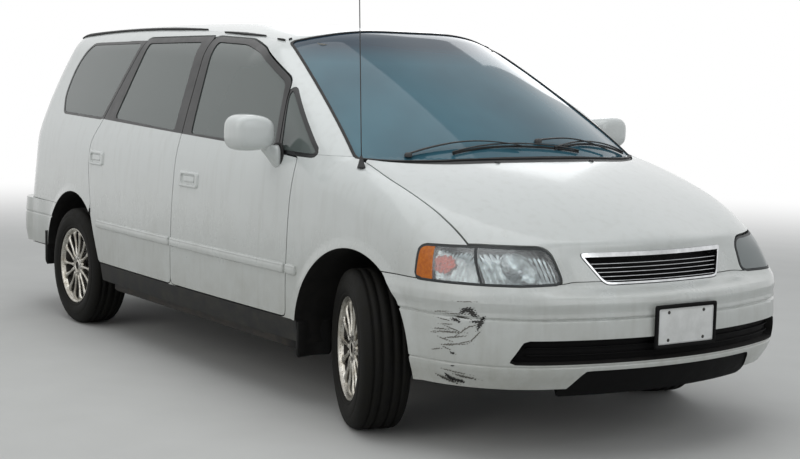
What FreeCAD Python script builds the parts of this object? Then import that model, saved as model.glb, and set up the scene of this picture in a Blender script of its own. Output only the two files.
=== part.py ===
import FreeCAD, Part
import math
import os

os.makedirs("parts", exist_ok=True)
V = FreeCAD.Vector
doc = FreeCAD.newDocument("minivan")

# Driving dimensions in millimetres and degrees. X runs forward, Y to the left, Z up from the road.
SIZES = [
    ("wheelbase", 2830), ("axle_shift", 5), ("front_track", 1525), ("rear_track", 1540),
    ("tyre_radius", 316), ("tyre_width", 205), ("rim_radius", 205), ("rim_width", 178), ("barrel_radius", 178),
    ("kingpin_inset", 35), ("steer_right_wheel", 20.4), ("steer_left_wheel", 18.2),
    ("nose_bow", 1400), ("side_bow", 42000), ("tail_bow", 2600),
    ("wall", 50), ("stop_gap", 5), ("stop_depth", 22), ("shut_gap", 6), ("seat_gap", 0.3),
    ("glass_sink", 3), ("glass_thick", 6),
    ("front_arch", 397), ("rear_arch", 406), ("arch_height", 320),
    ("sill_top", 378), ("sill_bottom", 286), ("bumper_top", 652), ("rear_bumper_top", 640),
    ("floor_bottom", 232), ("floor_thick", 26), ("bulkhead_place", 1150), ("bulkhead_thick", 20),
    ("front_hinge", 948), ("rear_hinge", -128), ("front_hinge_side", 888), ("rear_hinge_side", 897),
    ("knuckle_radius", 2.6), ("gate_hinge_place", -2050), ("gate_hinge_height", 1622),
    ("engine_length", 430), ("engine_width", 820), ("engine_height", 430), ("engine_place", 1400),
    ("engine_floor", 240.3), ("tank_length", 640), ("tank_width", 760), ("tank_height", 72),
    ("tank_place", -1010), ("tank_floor", 159.7),
    ("hub_radius", 62), ("disc_radius", 140), ("disc_thick", 22),
    ("plate_width", 312), ("plate_height", 160), ("plate_thick", 8),
    ("steering_wheel_radius", 190), ("steering_rim_radius", 14),
]
sheet = doc.addObject("Spreadsheet::Sheet", "Sizes")
for line, (alias, value) in enumerate(SIZES, 1):
    sheet.set("A%d" % line, alias)
    sheet.set("B%d" % line, str(value))
    sheet.setAlias("B%d" % line, alias)
doc.recompute()


def size(alias):
    return float(sheet.get(alias))


# Plan sections of the body: height, nose, nose corner radius, half width, tail, tail corner radius.
LEVELS = [
    (150, 2200, 470, 830, -2270, 240),
    (300, 2345, 500, 880, -2366, 250),
    (500, 2378, 505, 895, -2378, 240),
    (640, 2348, 500, 893, -2362, 240),
    (800, 2225, 470, 886, -2345, 260),
    (1040, 2040, 430, 858, -2332, 260),
    (1170, 1950, 410, 812, -2312, 250),
    (1300, 1860, 400, 760, -2284, 240),
    (1430, 1760, 380, 707, -2236, 230),
    (1560, 1660, 360, 652, -2168, 220),
    (1700, 1560, 330, 590, -2085, 210),
]
# Lengthwise sections of hood, windscreen and roof: side, nose, nose height, knee, knee height,
# cowl, cowl height, header, header height, roof height at mid length, roof height at the tail.
ROWS = [
    (0, 2485, 480, 2255, 777, 1500, 1062, 565, 1592, 1646, 1594),
    (380, 2425, 480, 2190, 774, 1445, 1060, 510, 1575, 1635, 1584),
    (580, 2335, 480, 2115, 787, 1350, 1058, 420, 1532, 1604, 1557),
    (660, 2270, 480, 2060, 797, 1295, 1057, 395, 1508, 1574, 1535),
    (740, 2205, 480, 1995, 802, 1240, 1056, 400, 1472, 1530, 1500),
    (900, 2065, 480, 1845, 782, 1085, 1000, 330, 1400, 1420, 1400),
]
HOOD_BULGE = 28
SCREEN_BULGE = 22


def corner_centre(c1, r1, c2, r2, r, near):
    """Centre of an arc of radius r that lies inside two circles and touches both."""
    a, b = r1 - r, r2 - r
    d = math.hypot(c2[0] - c1[0], c2[1] - c1[1])
    k = (a * a - b * b + d * d) / (2 * d)
    h = math.sqrt(a * a - k * k)
    ux, uy = (c2[0] - c1[0]) / d, (c2[1] - c1[1]) / d
    ends = [(c1[0] + k * ux - s * h * uy, c1[1] + k * uy + s * h * ux) for s in (1, -1)]
    return min(ends, key=lambda p: math.hypot(p[0] - near[0], p[1] - near[1]))


def along(centre, through, radius):
    d = math.hypot(through[0] - centre[0], through[1] - centre[1])
    share = radius / d
    return (centre[0] + (through[0] - centre[0]) * share, centre[1] + (through[1] - centre[1]) * share)


def plan_wire(level, inset):
    height, nose, nose_corner, half, tail, tail_corner = level
    nose, half, tail = nose - inset, half - inset, tail + inset
    nose_corner, tail_corner = nose_corner - inset, tail_corner - inset
    nose_bow, side_bow, tail_bow = size("nose_bow") - inset, size("side_bow") - inset, size("tail_bow") - inset
    front, rear, side = (nose - nose_bow, 0), (tail + tail_bow, 0), (0, half - side_bow)
    fc = corner_centre(front, nose_bow, side, side_bow, nose_corner, (nose - nose_corner, half - nose_corner))
    rc = corner_centre(rear, tail_bow, side, side_bow, tail_corner, (tail + tail_corner, half - tail_corner))
    f1, f2 = along(front, fc, nose_bow), along(side, fc, side_bow)
    r1, r2 = along(side, rc, side_bow), along(rear, rc, tail_bow)
    fm = along(fc, ((f1[0] + f2[0]) / 2, (f1[1] + f2[1]) / 2), nose_corner)
    rm = along(rc, ((r1[0] + r2[0]) / 2, (r1[1] + r2[1]) / 2), tail_corner)
    left = [f1, fm, f2, (0, half), r1, rm, r2]
    right = [(x, -y) for x, y in reversed(left)]
    ring = [(nose, 0)] + left + [(tail, 0)] + right + [(nose, 0)]
    ring = [V(x, y, height) for x, y in ring[1:]] + [V(left[0][0], left[0][1], height)]
    return Part.Wire([Part.Arc(*ring[i:i + 3]).toShape() for i in range(0, 16, 2)])


def bulged(a, b, rise):
    d = math.hypot(b[0] - a[0], b[1] - a[1])
    nx, nz = -(b[1] - a[1]) / d, (b[0] - a[0]) / d
    if nz < 0:
        nx, nz = -nx, -nz
    return ((a[0] + b[0]) / 2 + nx * rise, (a[1] + b[1]) / 2 + nz * rise)


def row_wire(row, inset, side):
    y, nose, nose_z, knee, knee_z, cowl, cowl_z, header, header_z, roof_z, tail_z = row
    slant = inset * 0.72
    a = (nose - inset, nose_z)
    k = (knee - slant, knee_z - slant)
    c = (cowl - slant, cowl_z - slant)
    h = (header - slant * 0.5, header_z - slant)
    roof = (-900, roof_z - inset)
    t = (-2550, tail_z - inset)
    p = lambda q: V(q[0], y * side, q[1])
    low_rear, low_front = (-2550, -200), (nose - inset, -200)
    return Part.Wire([
        Part.LineSegment(p(a), p(k)).toShape(),
        Part.Arc(p(k), p(bulged(k, c, HOOD_BULGE)), p(c)).toShape(),
        Part.Arc(p(c), p(bulged(c, h, SCREEN_BULGE)), p(h)).toShape(),
        Part.Arc(p(h), p(roof), p(t)).toShape(),
        Part.LineSegment(p(t), p(low_rear)).toShape(),
        Part.LineSegment(p(low_rear), p(low_front)).toShape(),
        Part.LineSegment(p(low_front), p(a)).toShape(),
    ])


SKINS = {}


def skin(inset):
    """The closed outer form of the body, moved in by inset on every side."""
    if inset not in SKINS:
        plan = Part.makeLoft([plan_wire(level, inset) for level in LEVELS], True, False)
        wires = [row_wire(row, inset, -1) for row in reversed(ROWS[1:])]
        wires += [row_wire(row, inset, 1) for row in ROWS]
        SKINS[inset] = plan.common(Part.makeLoft(wires, True, False))
    return SKINS[inset]


def half_width(height):
    """Half width of the body at a height, at mid length."""
    for low, high in zip(LEVELS, LEVELS[1:]):
        if height <= high[0]:
            part = (height - low[0]) / (high[0] - low[0])
            return low[3] + part * (high[3] - low[3])
    return LEVELS[-1][3]


def rounded(points, grow):
    """Outline of lines and corner arcs around points (u, v, corner radius), moved out by grow."""
    n = len(points)
    area = sum(points[i - 1][0] * points[i][1] - points[i][0] * points[i - 1][1] for i in range(n))
    sense = 1 if area > 0 else -1
    corners = []
    for i in range(n):
        p0, p1, p2 = points[i - 1], points[i], points[(i + 1) % n]
        l1 = math.hypot(p1[0] - p0[0], p1[1] - p0[1])
        l2 = math.hypot(p2[0] - p1[0], p2[1] - p1[1])
        d1 = ((p1[0] - p0[0]) / l1, (p1[1] - p0[1]) / l1)
        d2 = ((p2[0] - p1[0]) / l2, (p2[1] - p1[1]) / l2)
        n1, n2 = (d1[1] * sense, -d1[0] * sense), (d2[1] * sense, -d2[0] * sense)
        share = grow / (1 + n1[0] * n2[0] + n1[1] * n2[1])
        q = (p1[0] + (n1[0] + n2[0]) * share, p1[1] + (n1[1] + n2[1]) * share)
        turn = (d1[0] * d2[1] - d1[1] * d2[0]) * sense
        radius = max(p1[2] + (grow if turn > 0 else -grow), 0.6)
        angle = math.acos(max(-1, min(1, d1[0] * d2[0] + d1[1] * d2[1])))
        reach = radius * math.tan(angle / 2)
        a = (q[0] - d1[0] * reach, q[1] - d1[1] * reach)
        b = (q[0] + d2[0] * reach, q[1] + d2[1] * reach)
        bx, by = d2[0] - d1[0], d2[1] - d1[1]
        length = math.hypot(bx, by) or 1
        dip = radius * (1 / math.cos(angle / 2) - 1)
        corners.append((a, (q[0] + bx / length * dip, q[1] + by / length * dip), b))
    return corners


def outline_wire(points, grow, place):
    corners = rounded(points, grow)
    edges = []
    for i, (a, mid, b) in enumerate(corners):
        edges.append(Part.Arc(place(*a), place(*mid), place(*b)).toShape())
        edges.append(Part.LineSegment(place(*b), place(*corners[(i + 1) % len(corners)][0])).toShape())
    return Part.Wire(edges)


def prism(points, grow, place, travel):
    return Part.Face(outline_wire(points, grow, place)).extrude(travel)


def plan_prism(points, grow, low, high):
    return prism(points, grow, lambda u, v: V(u, v, low), V(0, 0, high - low))


def end_prism(points, grow, start, end):
    return prism(points, grow, lambda u, v: V(start, u, v), V(end - start, 0, 0))


def side_prism(points, grow=0.0, inner=588.0, outer=990.0):
    """Right-hand cutter for an outline (x, z, corner radius, taper); a tapered edge leans forward inboard."""
    wires = []
    for y in (outer, inner):
        row = [(p[0] + (p[3] if len(p) > 3 else 0) * (half_width(p[1]) - y), p[1], p[2]) for p in points]
        wires.append(outline_wire(row, grow, lambda u, v: V(u, -y, v)))
    return Part.makeLoft(wires, True, True)


def box(x0, x1, y0, y1, z0, z1):
    return Part.makeBox(x1 - x0, y1 - y0, z1 - z0, V(x0, y0, z0))


def tube(radius, start, end):
    start, end = V(*start), V(*end)
    return Part.makeCylinder(radius, (end - start).Length, start, end - start)


def mirrored(shape):
    return shape.mirror(V(0, 0, 0), V(0, 1, 0))


def solids(shape):
    pieces = [s for s in shape.Solids if s.Volume > 400]
    return pieces[0] if len(pieces) == 1 else Part.makeCompound(pieces)


PIECES = []


def piece(name, shape):
    """One sub-part whose form is cut from the body's own lofts."""
    item = doc.addObject("Part::Feature", name)
    item.Shape = solids(shape)
    item.Label = name
    PIECES.append(item)
    return item


def keep(item, name):
    item.Label = name
    PIECES.append(item)
    return item


wall, gap, seat = size("wall"), size("shut_gap") / 2, size("seat_gap")
stop, stop_end = wall + size("stop_gap"), wall + size("stop_gap") + size("stop_depth")
front_axle = size("wheelbase") / 2 + size("axle_shift")
rear_axle = front_axle - size("wheelbase")
arch_z = size("arch_height")
sill_top, sill_bottom = size("sill_top"), size("sill_bottom")
bumper_top, rear_bumper_top = size("bumper_top"), size("rear_bumper_top")

# Side outlines: x, z, corner radius, taper.
FRONT_DOOR = [
    (948, 381, 30, 0), (948, 860, 600, 0), (970, 1044, 12, 0), (806, 1056, 12, 0), (700, 1356, 40, 0),
    (350, 1503, 300, 0), (150, 1545, 500, 0), (-225, 1564, 30, 0.27), (-121, 1073, 400, 0.1),
    (-128, 800, 400, 0.06), (-128, 381, 30, 0.05),
]
REAR_DOOR = [
    (-128, 381, 30, 0.05), (-128, 800, 400, 0.06), (-121, 1073, 400, 0.1), (-225, 1564, 30, 0.27),
    (-955, 1562, 40, 0.36), (-1130, 1113, 150, 0.25), (-1206, 1000, 120, 0.12), (-1206, 870, 200, 0.1),
    (-1150, 690, 100, 0.1), (-1150, 630, 20, 0.1), (-1025, 381, 20, 0.1),
]
FRONT_WINDOW = [
    (762, 1080, 14), (666, 1346, 26), (332, 1478, 250), (140, 1519, 400), (-150, 1533, 18), (-34, 1100, 18),
]
REAR_WINDOW = [(-216, 1106, 18), (-310, 1534, 18), (-905, 1532, 18), (-975, 1140, 18)]
VENT_WINDOW = [(832, 1078, 12), (742, 1316, 20), (1090, 1062, 12)]
QUARTER_WINDOW = [
    (-1150, 1138, 20), (-1000, 1532, 22), (-1690, 1528, 110), (-1828, 1440, 200), (-1832, 1250, 120),
    (-1750, 1152, 60),
]
# Plan outlines: x, y, corner radius.
SCREEN = [
    (1256, -744, 60), (1420, -560, 500), (1500, -200, 1500), (1500, 200, 1500), (1420, 560, 500),
    (1256, 744, 60),
    (412, 574, 30), (500, 380, 600), (548, 120, 900), (548, -120, 900), (500, -380, 600), (412, -574, 30),
]
HOOD = [
    (1262, -733, 6), (1470, -560, 500), (1556, -200, 1500), (1556, 200, 1500), (1470, 560, 500), (1262, 733, 6),
    (1500, 752, 900), (1755, 742, 900), (1990, 728, 60), (2500, 700, 20), (2500, -700, 20), (1990, -728, 60),
    (1755, -742, 900), (1500, -752, 900),
]
ROOF = [
    (392, -578, 40), (482, -380, 600), (528, -120, 900), (528, 120, 900), (482, 380, 600), (392, 578, 40),
    (-2044, 560, 40), (-2044, -560, 40),
]
SUNROOF = [
    (320, -360, 60), (345, -120, 900), (345, 120, 900), (320, 360, 60), (-180, 360, 60), (-180, -360, 60),
]
# End outlines: y, z, corner radius.
LAMP = [
    (-446, 652, 10), (-478, 736, 60), (-545, 774, 60), (-700, 785, 300), (-1000, 776, 10), (-1000, 650, 10),
    (-480, 648, 40),
]
LAMP_END = 1826
GATE = [
    (-640, 648, 30), (-712, 760, 60), (-716, 1060, 200), (-566, 1700, 20), (566, 1700, 20), (716, 1060, 200),
    (712, 760, 60), (640, 648, 30),
]
REAR_GLASS = [(-632, 1120, 50), (-548, 1530, 60), (548, 1530, 60), (632, 1120, 50)]
BUMPER_FRONT = [
    (-1100, 652, 1), (-446, 652, 12), (-418, 633, 12), (418, 633, 12), (446, 652, 12), (1100, 652, 1),
    (1100, 150, 1), (-1100, 150, 1),
]
TAIL_LAMP = [(-722, 770, 12), (-722, 1050, 12), (-1000, 1080, 12), (-1000, 800, 12)]
GRILLE = [(-366, 757, 14), (366, 757, 14), (288, 644, 22), (-288, 644, 22)]
INTAKE = [(-676, 376, 14), (-630, 464, 24), (630, 464, 24), (676, 376, 14)]
LOWER_INTAKE = [(-476, 250, 10), (-420, 349, 24), (420, 349, 24), (476, 250, 10)]

outer = skin(0)
shell = outer.cut(skin(wall))
wells = [tube(size("front_arch"), (front_axle, -1000, arch_z), (front_axle, -440, arch_z)),
         tube(size("rear_arch"), (rear_axle, -1000, arch_z), (rear_axle, -600, arch_z))]
wells += [mirrored(well) for well in wells]
shell = shell.cut(wells)
right_shell = shell.common(box(-2600, 2600, -1100, 0, -100, 1800))
rear_shell = shell.common(box(-2600, -1500, -1100, 1100, 100, 1750))
front_shell = shell.common(box(900, 2600, -1100, 1100, 100, 1150))
pane = skin(size("glass_sink")).cut(skin(size("glass_sink") + size("glass_thick")))
right_pane = pane.common(box(-2000, 1200, -1000, -400, 1000, 1600))

# Regions that end the panels. A moving panel keeps the shut gap, a fixed one the seat gap.
hood_room = plan_prism(HOOD, gap, 500, 1200).cut(end_prism(BUMPER_FRONT, -gap, 1900, 2600))
lamp_cut = end_prism(LAMP, 0, LAMP_END, 2600)
lamp_room = end_prism(LAMP, 2 * gap, LAMP_END, 2600)
screen_cut = plan_prism(SCREEN, 0, 950, 1700)
gate_room = end_prism(GATE, gap, -2600, size("gate_hinge_place") + gap)
tail_lamp_cut = end_prism(TAIL_LAMP, 0, -2600, -2120)
cowl_zone = box(1180, 1640, -736, 736, 950, 1130)
bumper_zone = end_prism(BUMPER_FRONT, 0, 1560, 2600)
rear_bumper_zone = box(-2600, -1560, -1100, 1100, 150, rear_bumper_top)
fender_zone = box(size("front_hinge") - 2 * gap, 2600, -1100, 0, sill_top, 1060)
door_room = {"front": side_prism(FRONT_DOOR, gap), "rear": side_prism(REAR_DOOR, gap)}
vent_cut, quarter_cut = side_prism(VENT_WINDOW), side_prism(QUARTER_WINDOW)

# Roof and front end.
roof = shell.common(plan_prism(ROOF, -seat, 1450, 1750)).cut([gate_room, plan_prism(SUNROOF, 0, 1450, 1750)])
gate_axis, gate_high = size("gate_hinge_place"), size("gate_hinge_height")
roof_knuckle = tube(3, (gate_axis, -119.7, gate_high), (gate_axis, -100, gate_high))
roof_knuckle = roof_knuckle.fuse(box(gate_axis, gate_axis + 14, -119.7, -100, gate_high - 10, gate_high))
piece("roof_panel", roof.fuse([roof_knuckle, mirrored(roof_knuckle)]))
piece("sunroof_panel", shell.common(plan_prism(SUNROOF, -seat, 1450, 1750)))
piece("windscreen", pane.common(plan_prism(SCREEN, -seat, 950, 1700)))
grille_cut = end_prism(GRILLE, 0, 2000, 2600)
hood_shape = front_shell.common(plan_prism(HOOD, -gap, 500, 1200)).cut(
    [end_prism(BUMPER_FRONT, gap, 1900, 2600), lamp_room, mirrored(lamp_room), grille_cut])
bumper = front_shell.common(end_prism(BUMPER_FRONT, -seat, 1560, 2600)).cut(
    [end_prism(INTAKE, 0, 2000, 2600), end_prism(LOWER_INTAKE, 0, 2000, 2600), lamp_cut, mirrored(lamp_cut),
     box(1500, 2600, -1100, 1100, 100, 276)])
grille_ring = end_prism(GRILLE, -seat, 2000, 2600).cut(end_prism(GRILLE, -11, 2000, 2600))
SLATS = (664, 685, 706, 727)
slat_room = end_prism(GRILLE, -5, 2000, 2600)
slats = [slat_room.common(box(2000, 2600, -500, 500, z - 3, z + 3)) for z in SLATS]
nose_room = end_prism(GRILLE, -seat, 2000, 2600)
grille_back = skin(30).common(nose_room).cut(skin(40))
grille = front_shell.cut(skin(31)).common(grille_ring.fuse(slats)).fuse(grille_back)
piece("grille", grille)
fender = front_shell.common(fender_zone).cut(
    [hood_room, lamp_cut, bumper_zone, screen_cut, cowl_zone, door_room["front"], vent_cut])
lamp = front_shell.common(end_prism(LAMP, -seat, LAMP_END + seat, 2600))
cowl_flange = box(1180, 1640, -690, 690, 900, 1130).cut(plan_prism(HOOD, -34, 500, 1200))
cowl_flange = cowl_flange.common(plan_prism(HOOD, gap + 1, 500, 1200))
cowl_zone_all = cowl_zone.cut(plan_prism(HOOD, gap, 500, 1200)).fuse(cowl_flange)
cowl_block = outer.common(box(1150, 1700, -760, 760, 850, 1150)).cut(skin(wall + 12))
hood_space = plan_prism(HOOD, gap, 500, 1200).cut(skin(wall + seat))
cowl = cowl_block.common(cowl_zone_all).cut([hood_space, plan_prism(SCREEN, seat, 950, 1700)])
piece("cowl", max(cowl.Solids, key=lambda s: s.Volume))

# Body side: pillars, rails and quarter panel in one pressing, with the door stops behind the doors.
side_room = box(-2600, 1300, -1100, -200, sill_bottom, 1720)
thick_side = outer.common(side_room).cut(skin(stop_end)).cut(wells[:2])
core = skin(stop).common(side_room)
plugs = [room.cut(core) for room in door_room.values()]
apertures = [side_prism(FRONT_DOOR, -26), side_prism(REAR_DOOR, -26)]
cuts = plugs + apertures + [
    vent_cut, quarter_cut, plan_prism(ROOF, 0, 1400, 1750), screen_cut, hood_room,
    box(1180, 1640, -736 - seat, 736, 950, 1130),
    box(size("front_hinge") - 2 * gap - seat, 2600, -1100, 0, 100, 1060 + seat),
    box(-2600, -1560, -1100, 1100, 150, rear_bumper_top + seat), gate_room, tail_lamp_cut,
    box(-1400, 1100, -1100, 0, 100, sill_top).cut(core),
]
side = thick_side.cut(cuts)
side = max(side.Solids, key=lambda s: s.Volume)

# Doors with their glass. The hinge knuckles sit in the front shut line, in turn on door and body.
WINDOWS = {"front": FRONT_WINDOW, "rear": REAR_WINDOW}
OUTLINES = {"front": FRONT_DOOR, "rear": REAR_DOOR}
proud = skin(-11).common(box(-1100, 1100, -1100, -700, 560, 630)).cut(skin(2))
STRIPS = {"front": (-122, 942), "rear": (-1040, -134), "fender": (954, 1034)}
KNUCKLES = {"front": size("front_hinge"), "rear": size("rear_hinge")}
knuckle_r = size("knuckle_radius")
HINGE_Y = {"front": -size("front_hinge_side"), "rear": -size("rear_hinge_side")}


def strip(name):
    x0, x1 = STRIPS[name]
    bar = [(x0, 563, 8), (x1, 563, 8), (x1, 606, 8), (x0, 606, 8)]
    return proud.common(side_prism(bar, 0, 800, 1000))


def knuckles(name, low, leaf):
    """Hinge barrels on the shut line; leaf is the plate that carries them, as x0, x1 and depth."""
    x, hinge_y = KNUCKLES[name], HINGE_Y[name]
    parts = []
    for z in (470, 700):
        parts.append(tube(knuckle_r, (x, hinge_y, z + low), (x, hinge_y, z + low + 24)))
        parts.append(box(x + leaf[0], x + leaf[1], hinge_y, hinge_y + leaf[2], z + low, z + low + 24))
    return parts


def handle(x, z):
    grip = box(x, x + 190, -893, -850, z - 38, z + 38)
    return grip.makeFillet(8, grip.Edges)


mirror_arm = box(786, 842, -930, -850, 1000, 1100)
mirror_arm = mirror_arm.makeFillet(12, mirror_arm.Edges)
mirror_case = box(770, 882, -1086, -886, 1062, 1216)
mirror_case = mirror_case.makeFillet(30, mirror_case.Edges)
EXTRAS = {
    "front": [strip("front"), handle(-60, 889), mirror_arm, mirror_case] + knuckles("front", 0, (-6, 0, 15)),
    "rear": [strip("rear"), handle(-1190, 925)] + knuckles("rear", 0, (-6, 0, 15)),
}
for name, window in WINDOWS.items():
    door = right_shell.common(side_prism(OUTLINES[name], -gap)).cut(side_prism(window)).fuse(EXTRAS[name])
    glass = right_pane.common(side_prism(window, -seat))
    for side_name, turn in (("right", lambda s: s), ("left", mirrored)):
        piece("%s_door_%s" % (name, side_name), turn(door))
        piece("%s_door_glass_%s" % (name, side_name), turn(glass))
fender = fender.fuse([strip("fender")] + knuckles("front", 24 + seat, (0, 7, 15)))
lean = 3.7
for z in (470, 700):
    low = z + 24 + seat
    leaf = [(-128.9, -897, 0), (-127.1, -897, 0), (lean - 127.1, -825, 0), (lean - 128.9, -825, 0)]
    leaf = Part.Face(Part.makePolygon([V(x, y, low) for x, y, _ in leaf + leaf[:1]])).extrude(V(0, 0, 24))
    side = side.fuse([leaf, tube(knuckle_r, (-128, -897, low), (-128, -897, low + 24))])
piece("body_side_right", side)
piece("body_side_left", mirrored(side))
for name, shape in (("fender", fender), ("headlamp", lamp)):
    piece(name + "_right", shape)
    piece(name + "_left", mirrored(shape))

# Rear end.
gate = rear_shell.common(end_prism(GATE, -gap, -2600, size("gate_hinge_place") - gap)).cut(
    [end_prism(REAR_GLASS, 0, -2600, -2000), box(-2600, -1500, -1100, 1100, 100, rear_bumper_top + 2 * gap)])
gate_knuckle = tube(3, (gate_axis, -140, gate_high), (gate_axis, -120, gate_high))
gate_knuckle = gate_knuckle.fuse(box(gate_axis - 14, gate_axis, -140, -120, gate_high - 10, gate_high))
piece("tailgate", gate.fuse([gate_knuckle, mirrored(gate_knuckle)]))
piece("rear_window", pane.common(end_prism(REAR_GLASS, -seat, -2600, -2000)))
piece("rear_bumper", rear_shell.common(rear_bumper_zone).cut([box(-2600, -1400, -1100, 1100, 100, 262)]))
tail_lamp = right_shell.common(end_prism(TAIL_LAMP, -seat, -2600, -2120 - seat))
piece("tail_lamps", Part.makeCompound([tail_lamp, mirrored(tail_lamp)]))
sill = outer.common(box(-1400, 1400, -1100, -700, sill_bottom, sill_top - seat))
sill = sill.cut([skin(stop - seat)] + wells[:2])
sill = max(sill.Solids, key=lambda s: s.Volume)
piece("sill_covers", Part.makeCompound([sill, mirrored(sill)]))
side_glass = [right_pane.common(side_prism(window, -seat)) for window in (VENT_WINDOW, QUARTER_WINDOW)]
piece("fixed_side_glass", Part.makeCompound(side_glass + [mirrored(g) for g in side_glass]))
piece("hood", hood_shape)
piece("front_bumper", bumper)

# Floor and bulkhead, with a jacking pad behind each front wheel and ahead of each rear one.
floor_z, floor_top = size("floor_bottom"), size("floor_bottom") + size("floor_thick")
floor_rim = stop_end + seat
rim_form = skin(floor_rim).common(box(-2400, size("bulkhead_place"), -900, 900, floor_z, sill_top))
floor = rim_form.common(box(-2330, size("bulkhead_place"), -900, 900, floor_z, floor_top))
rails = rim_form.common(box(-960, 930, -900, 900, floor_z, sill_top))
rails = rails.cut(box(-970, 940, -772, 772, floor_z, sill_top))
bulkhead = size("bulkhead_place")
firewall = box(bulkhead, bulkhead + size("bulkhead_thick"), -752, 752, floor_z, 1000)
pads = []
for x, y in ((800, -700), (800, 700), (-860, -700), (-860, 700)):
    pad = box(x - 40, x + 40, y - 26, y + 26, floor_z - 16, floor_z + 2)
    pads.append(pad.makeFillet(12, [edge for edge in pad.Edges if edge.BoundBox.ZLength > 15]))
floor = floor.fuse([rails, firewall] + pads).cut(wells)
piece("floor_pan", floor)


def part_object(kind, name, **bound):
    """A primitive whose sizes are bound to the sheet."""
    item = doc.addObject(kind, name)
    for prop, expression in bound.items():
        item.setExpression(prop, expression)
    return item


engine = part_object("Part::Box", "engine_block", Length="Sizes.engine_length", Width="Sizes.engine_width",
                     Height="Sizes.engine_height")
engine.Placement.Base = V(size("engine_place"), -size("engine_width") / 2, size("engine_floor"))
keep(engine, "engine_block")
tank = part_object("Part::Box", "fuel_tank", Length="Sizes.tank_length", Width="Sizes.tank_width",
                   Height="Sizes.tank_height")
tank.Placement.Base = V(size("tank_place"), -250, size("tank_floor"))
keep(tank, "fuel_tank")
doc.recompute()

# Cabin: dashboard with steering wheel, and the seats as plain soft solids.
def cross_prism(points, y0, y1):
    return prism([(x, z, r) for x, z, r in points], 0, lambda u, v: V(u, y0, v), V(0, y1 - y0, 0))


DASH = [(1149.7, 640, 5), (1149.7, 985, 20), (1080, 1002, 30), (930, 960, 40), (900, 800, 40), (960, 640, 20)]
dash = cross_prism(DASH, -735, 735)
wheel_y, wheel_r = 370, size("steering_wheel_radius")
hoop = Part.makeTorus(wheel_r - size("steering_rim_radius"), size("steering_rim_radius"))
hoop = hoop.fuse([tube(52, (0, 0, -26), (0, 0, 10)), tube(24, (0, 0, -190), (0, 0, 0)),
                  box(-180, 180, -16, 16, -14, 4), box(-16, 16, -180, 0, -14, 4)])
hoop.rotate(V(0, 0, 0), V(0, 1, 0), -66)
hoop.translate(V(800, wheel_y, 930))
piece("dashboard", dash.fuse(hoop))
SEAT = [
    (470, 0, 30), (500, 150, 60), (532, 250, 60), (440, 290, 40), (90, 262, 60), (-80, 760, 50), (-96, 800, 20),
    (-112, 950, 40), (-190, 950, 40), (-186, 790, 30), (-200, 740, 60), (-60, 150, 80), (-40, 0, 30),
]


def seat_at(x, y, width):
    base = floor_top + seat
    return cross_prism([(x + u, base + v, r) for u, v, r in SEAT], y - width / 2, y + width / 2)


FRONT_SEATS = [(250, -370, 500), (250, 370, 500)]
REAR_SEATS = [(-640, -340, 520), (-640, 340, 520), (-1560, 0, 1100)]
for name, places in (("front_seats", FRONT_SEATS), ("rear_seats", REAR_SEATS)):
    piece(name, Part.makeCompound([seat_at(x, y, width) for x, y, width in places]))
FLAPS = ((1033.3, 170, 262), (-1806, 150, 262))
flaps = [box(x, x + 8, -868, -690, low, high) for x, low, high in FLAPS]
piece("mud_flaps", Part.makeCompound(flaps + [mirrored(f) for f in flaps]))
plate = part_object("Part::Box", "front_plate", Length="Sizes.plate_thick", Width="Sizes.plate_width",
                    Height="Sizes.plate_height")
plate.Placement.Base = V(2378.7, -size("plate_width") / 2, 417)
keep(plate, "front_plate")
mast_x, mast_y = 1337, -772
foot = outer.common(Part.makeLine(V(mast_x, mast_y, 900), V(mast_x, mast_y, 1200))).BoundBox.ZMax - 4
mast = tube(2.2, (mast_x, mast_y, foot + 20), (mast_x - 45, mast_y, foot + 780))
mast = mast.fuse(Part.makeCone(14, 5, 46, V(mast_x, mast_y, foot), V(-0.06, 0, 1))).cut(outer)
piece("antenna", mast)
ROUTE = [
    (1180, -60, 204), (900, -300, 204), (-1030, -300, 204), (-1250, -330, 150), (-1600, -450, 150),
    (-1720, -520, 180),
]
pipe = [tube(24, a, b) for a, b in zip(ROUTE, ROUTE[1:])] + [Part.makeSphere(24, V(*p)) for p in ROUTE[1:]]
pipe.append(tube(41, (300, -300, 190.4), (-100, -300, 190.4)))
pipe.append(tube(50, (-1700, -520, 181.4), (-2180, -520, 181.4)))
pipe.append(tube(22, (-2170, -540, 186), (-2330, -560, 186)))
pipe = pipe[0].fuse(pipe[1:])
piece("exhaust", pipe)
doc.recompute()

# Wheels: tyre and rim about their own axis, outer side towards +Y, then turned and set on each axle.
half_tyre, half_rim = size("tyre_width") / 2, size("rim_width") / 2
tyre_r, rim_r, barrel_r = size("tyre_radius"), size("rim_radius"), size("barrel_radius")


def revolved(points):
    wire = Part.makePolygon([V(0, s, r) for r, s in points] + [V(0, points[0][1], points[0][0])])
    return Part.Face(wire).revolve(V(0, 0, 0), V(0, 1, 0), 360)


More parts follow.
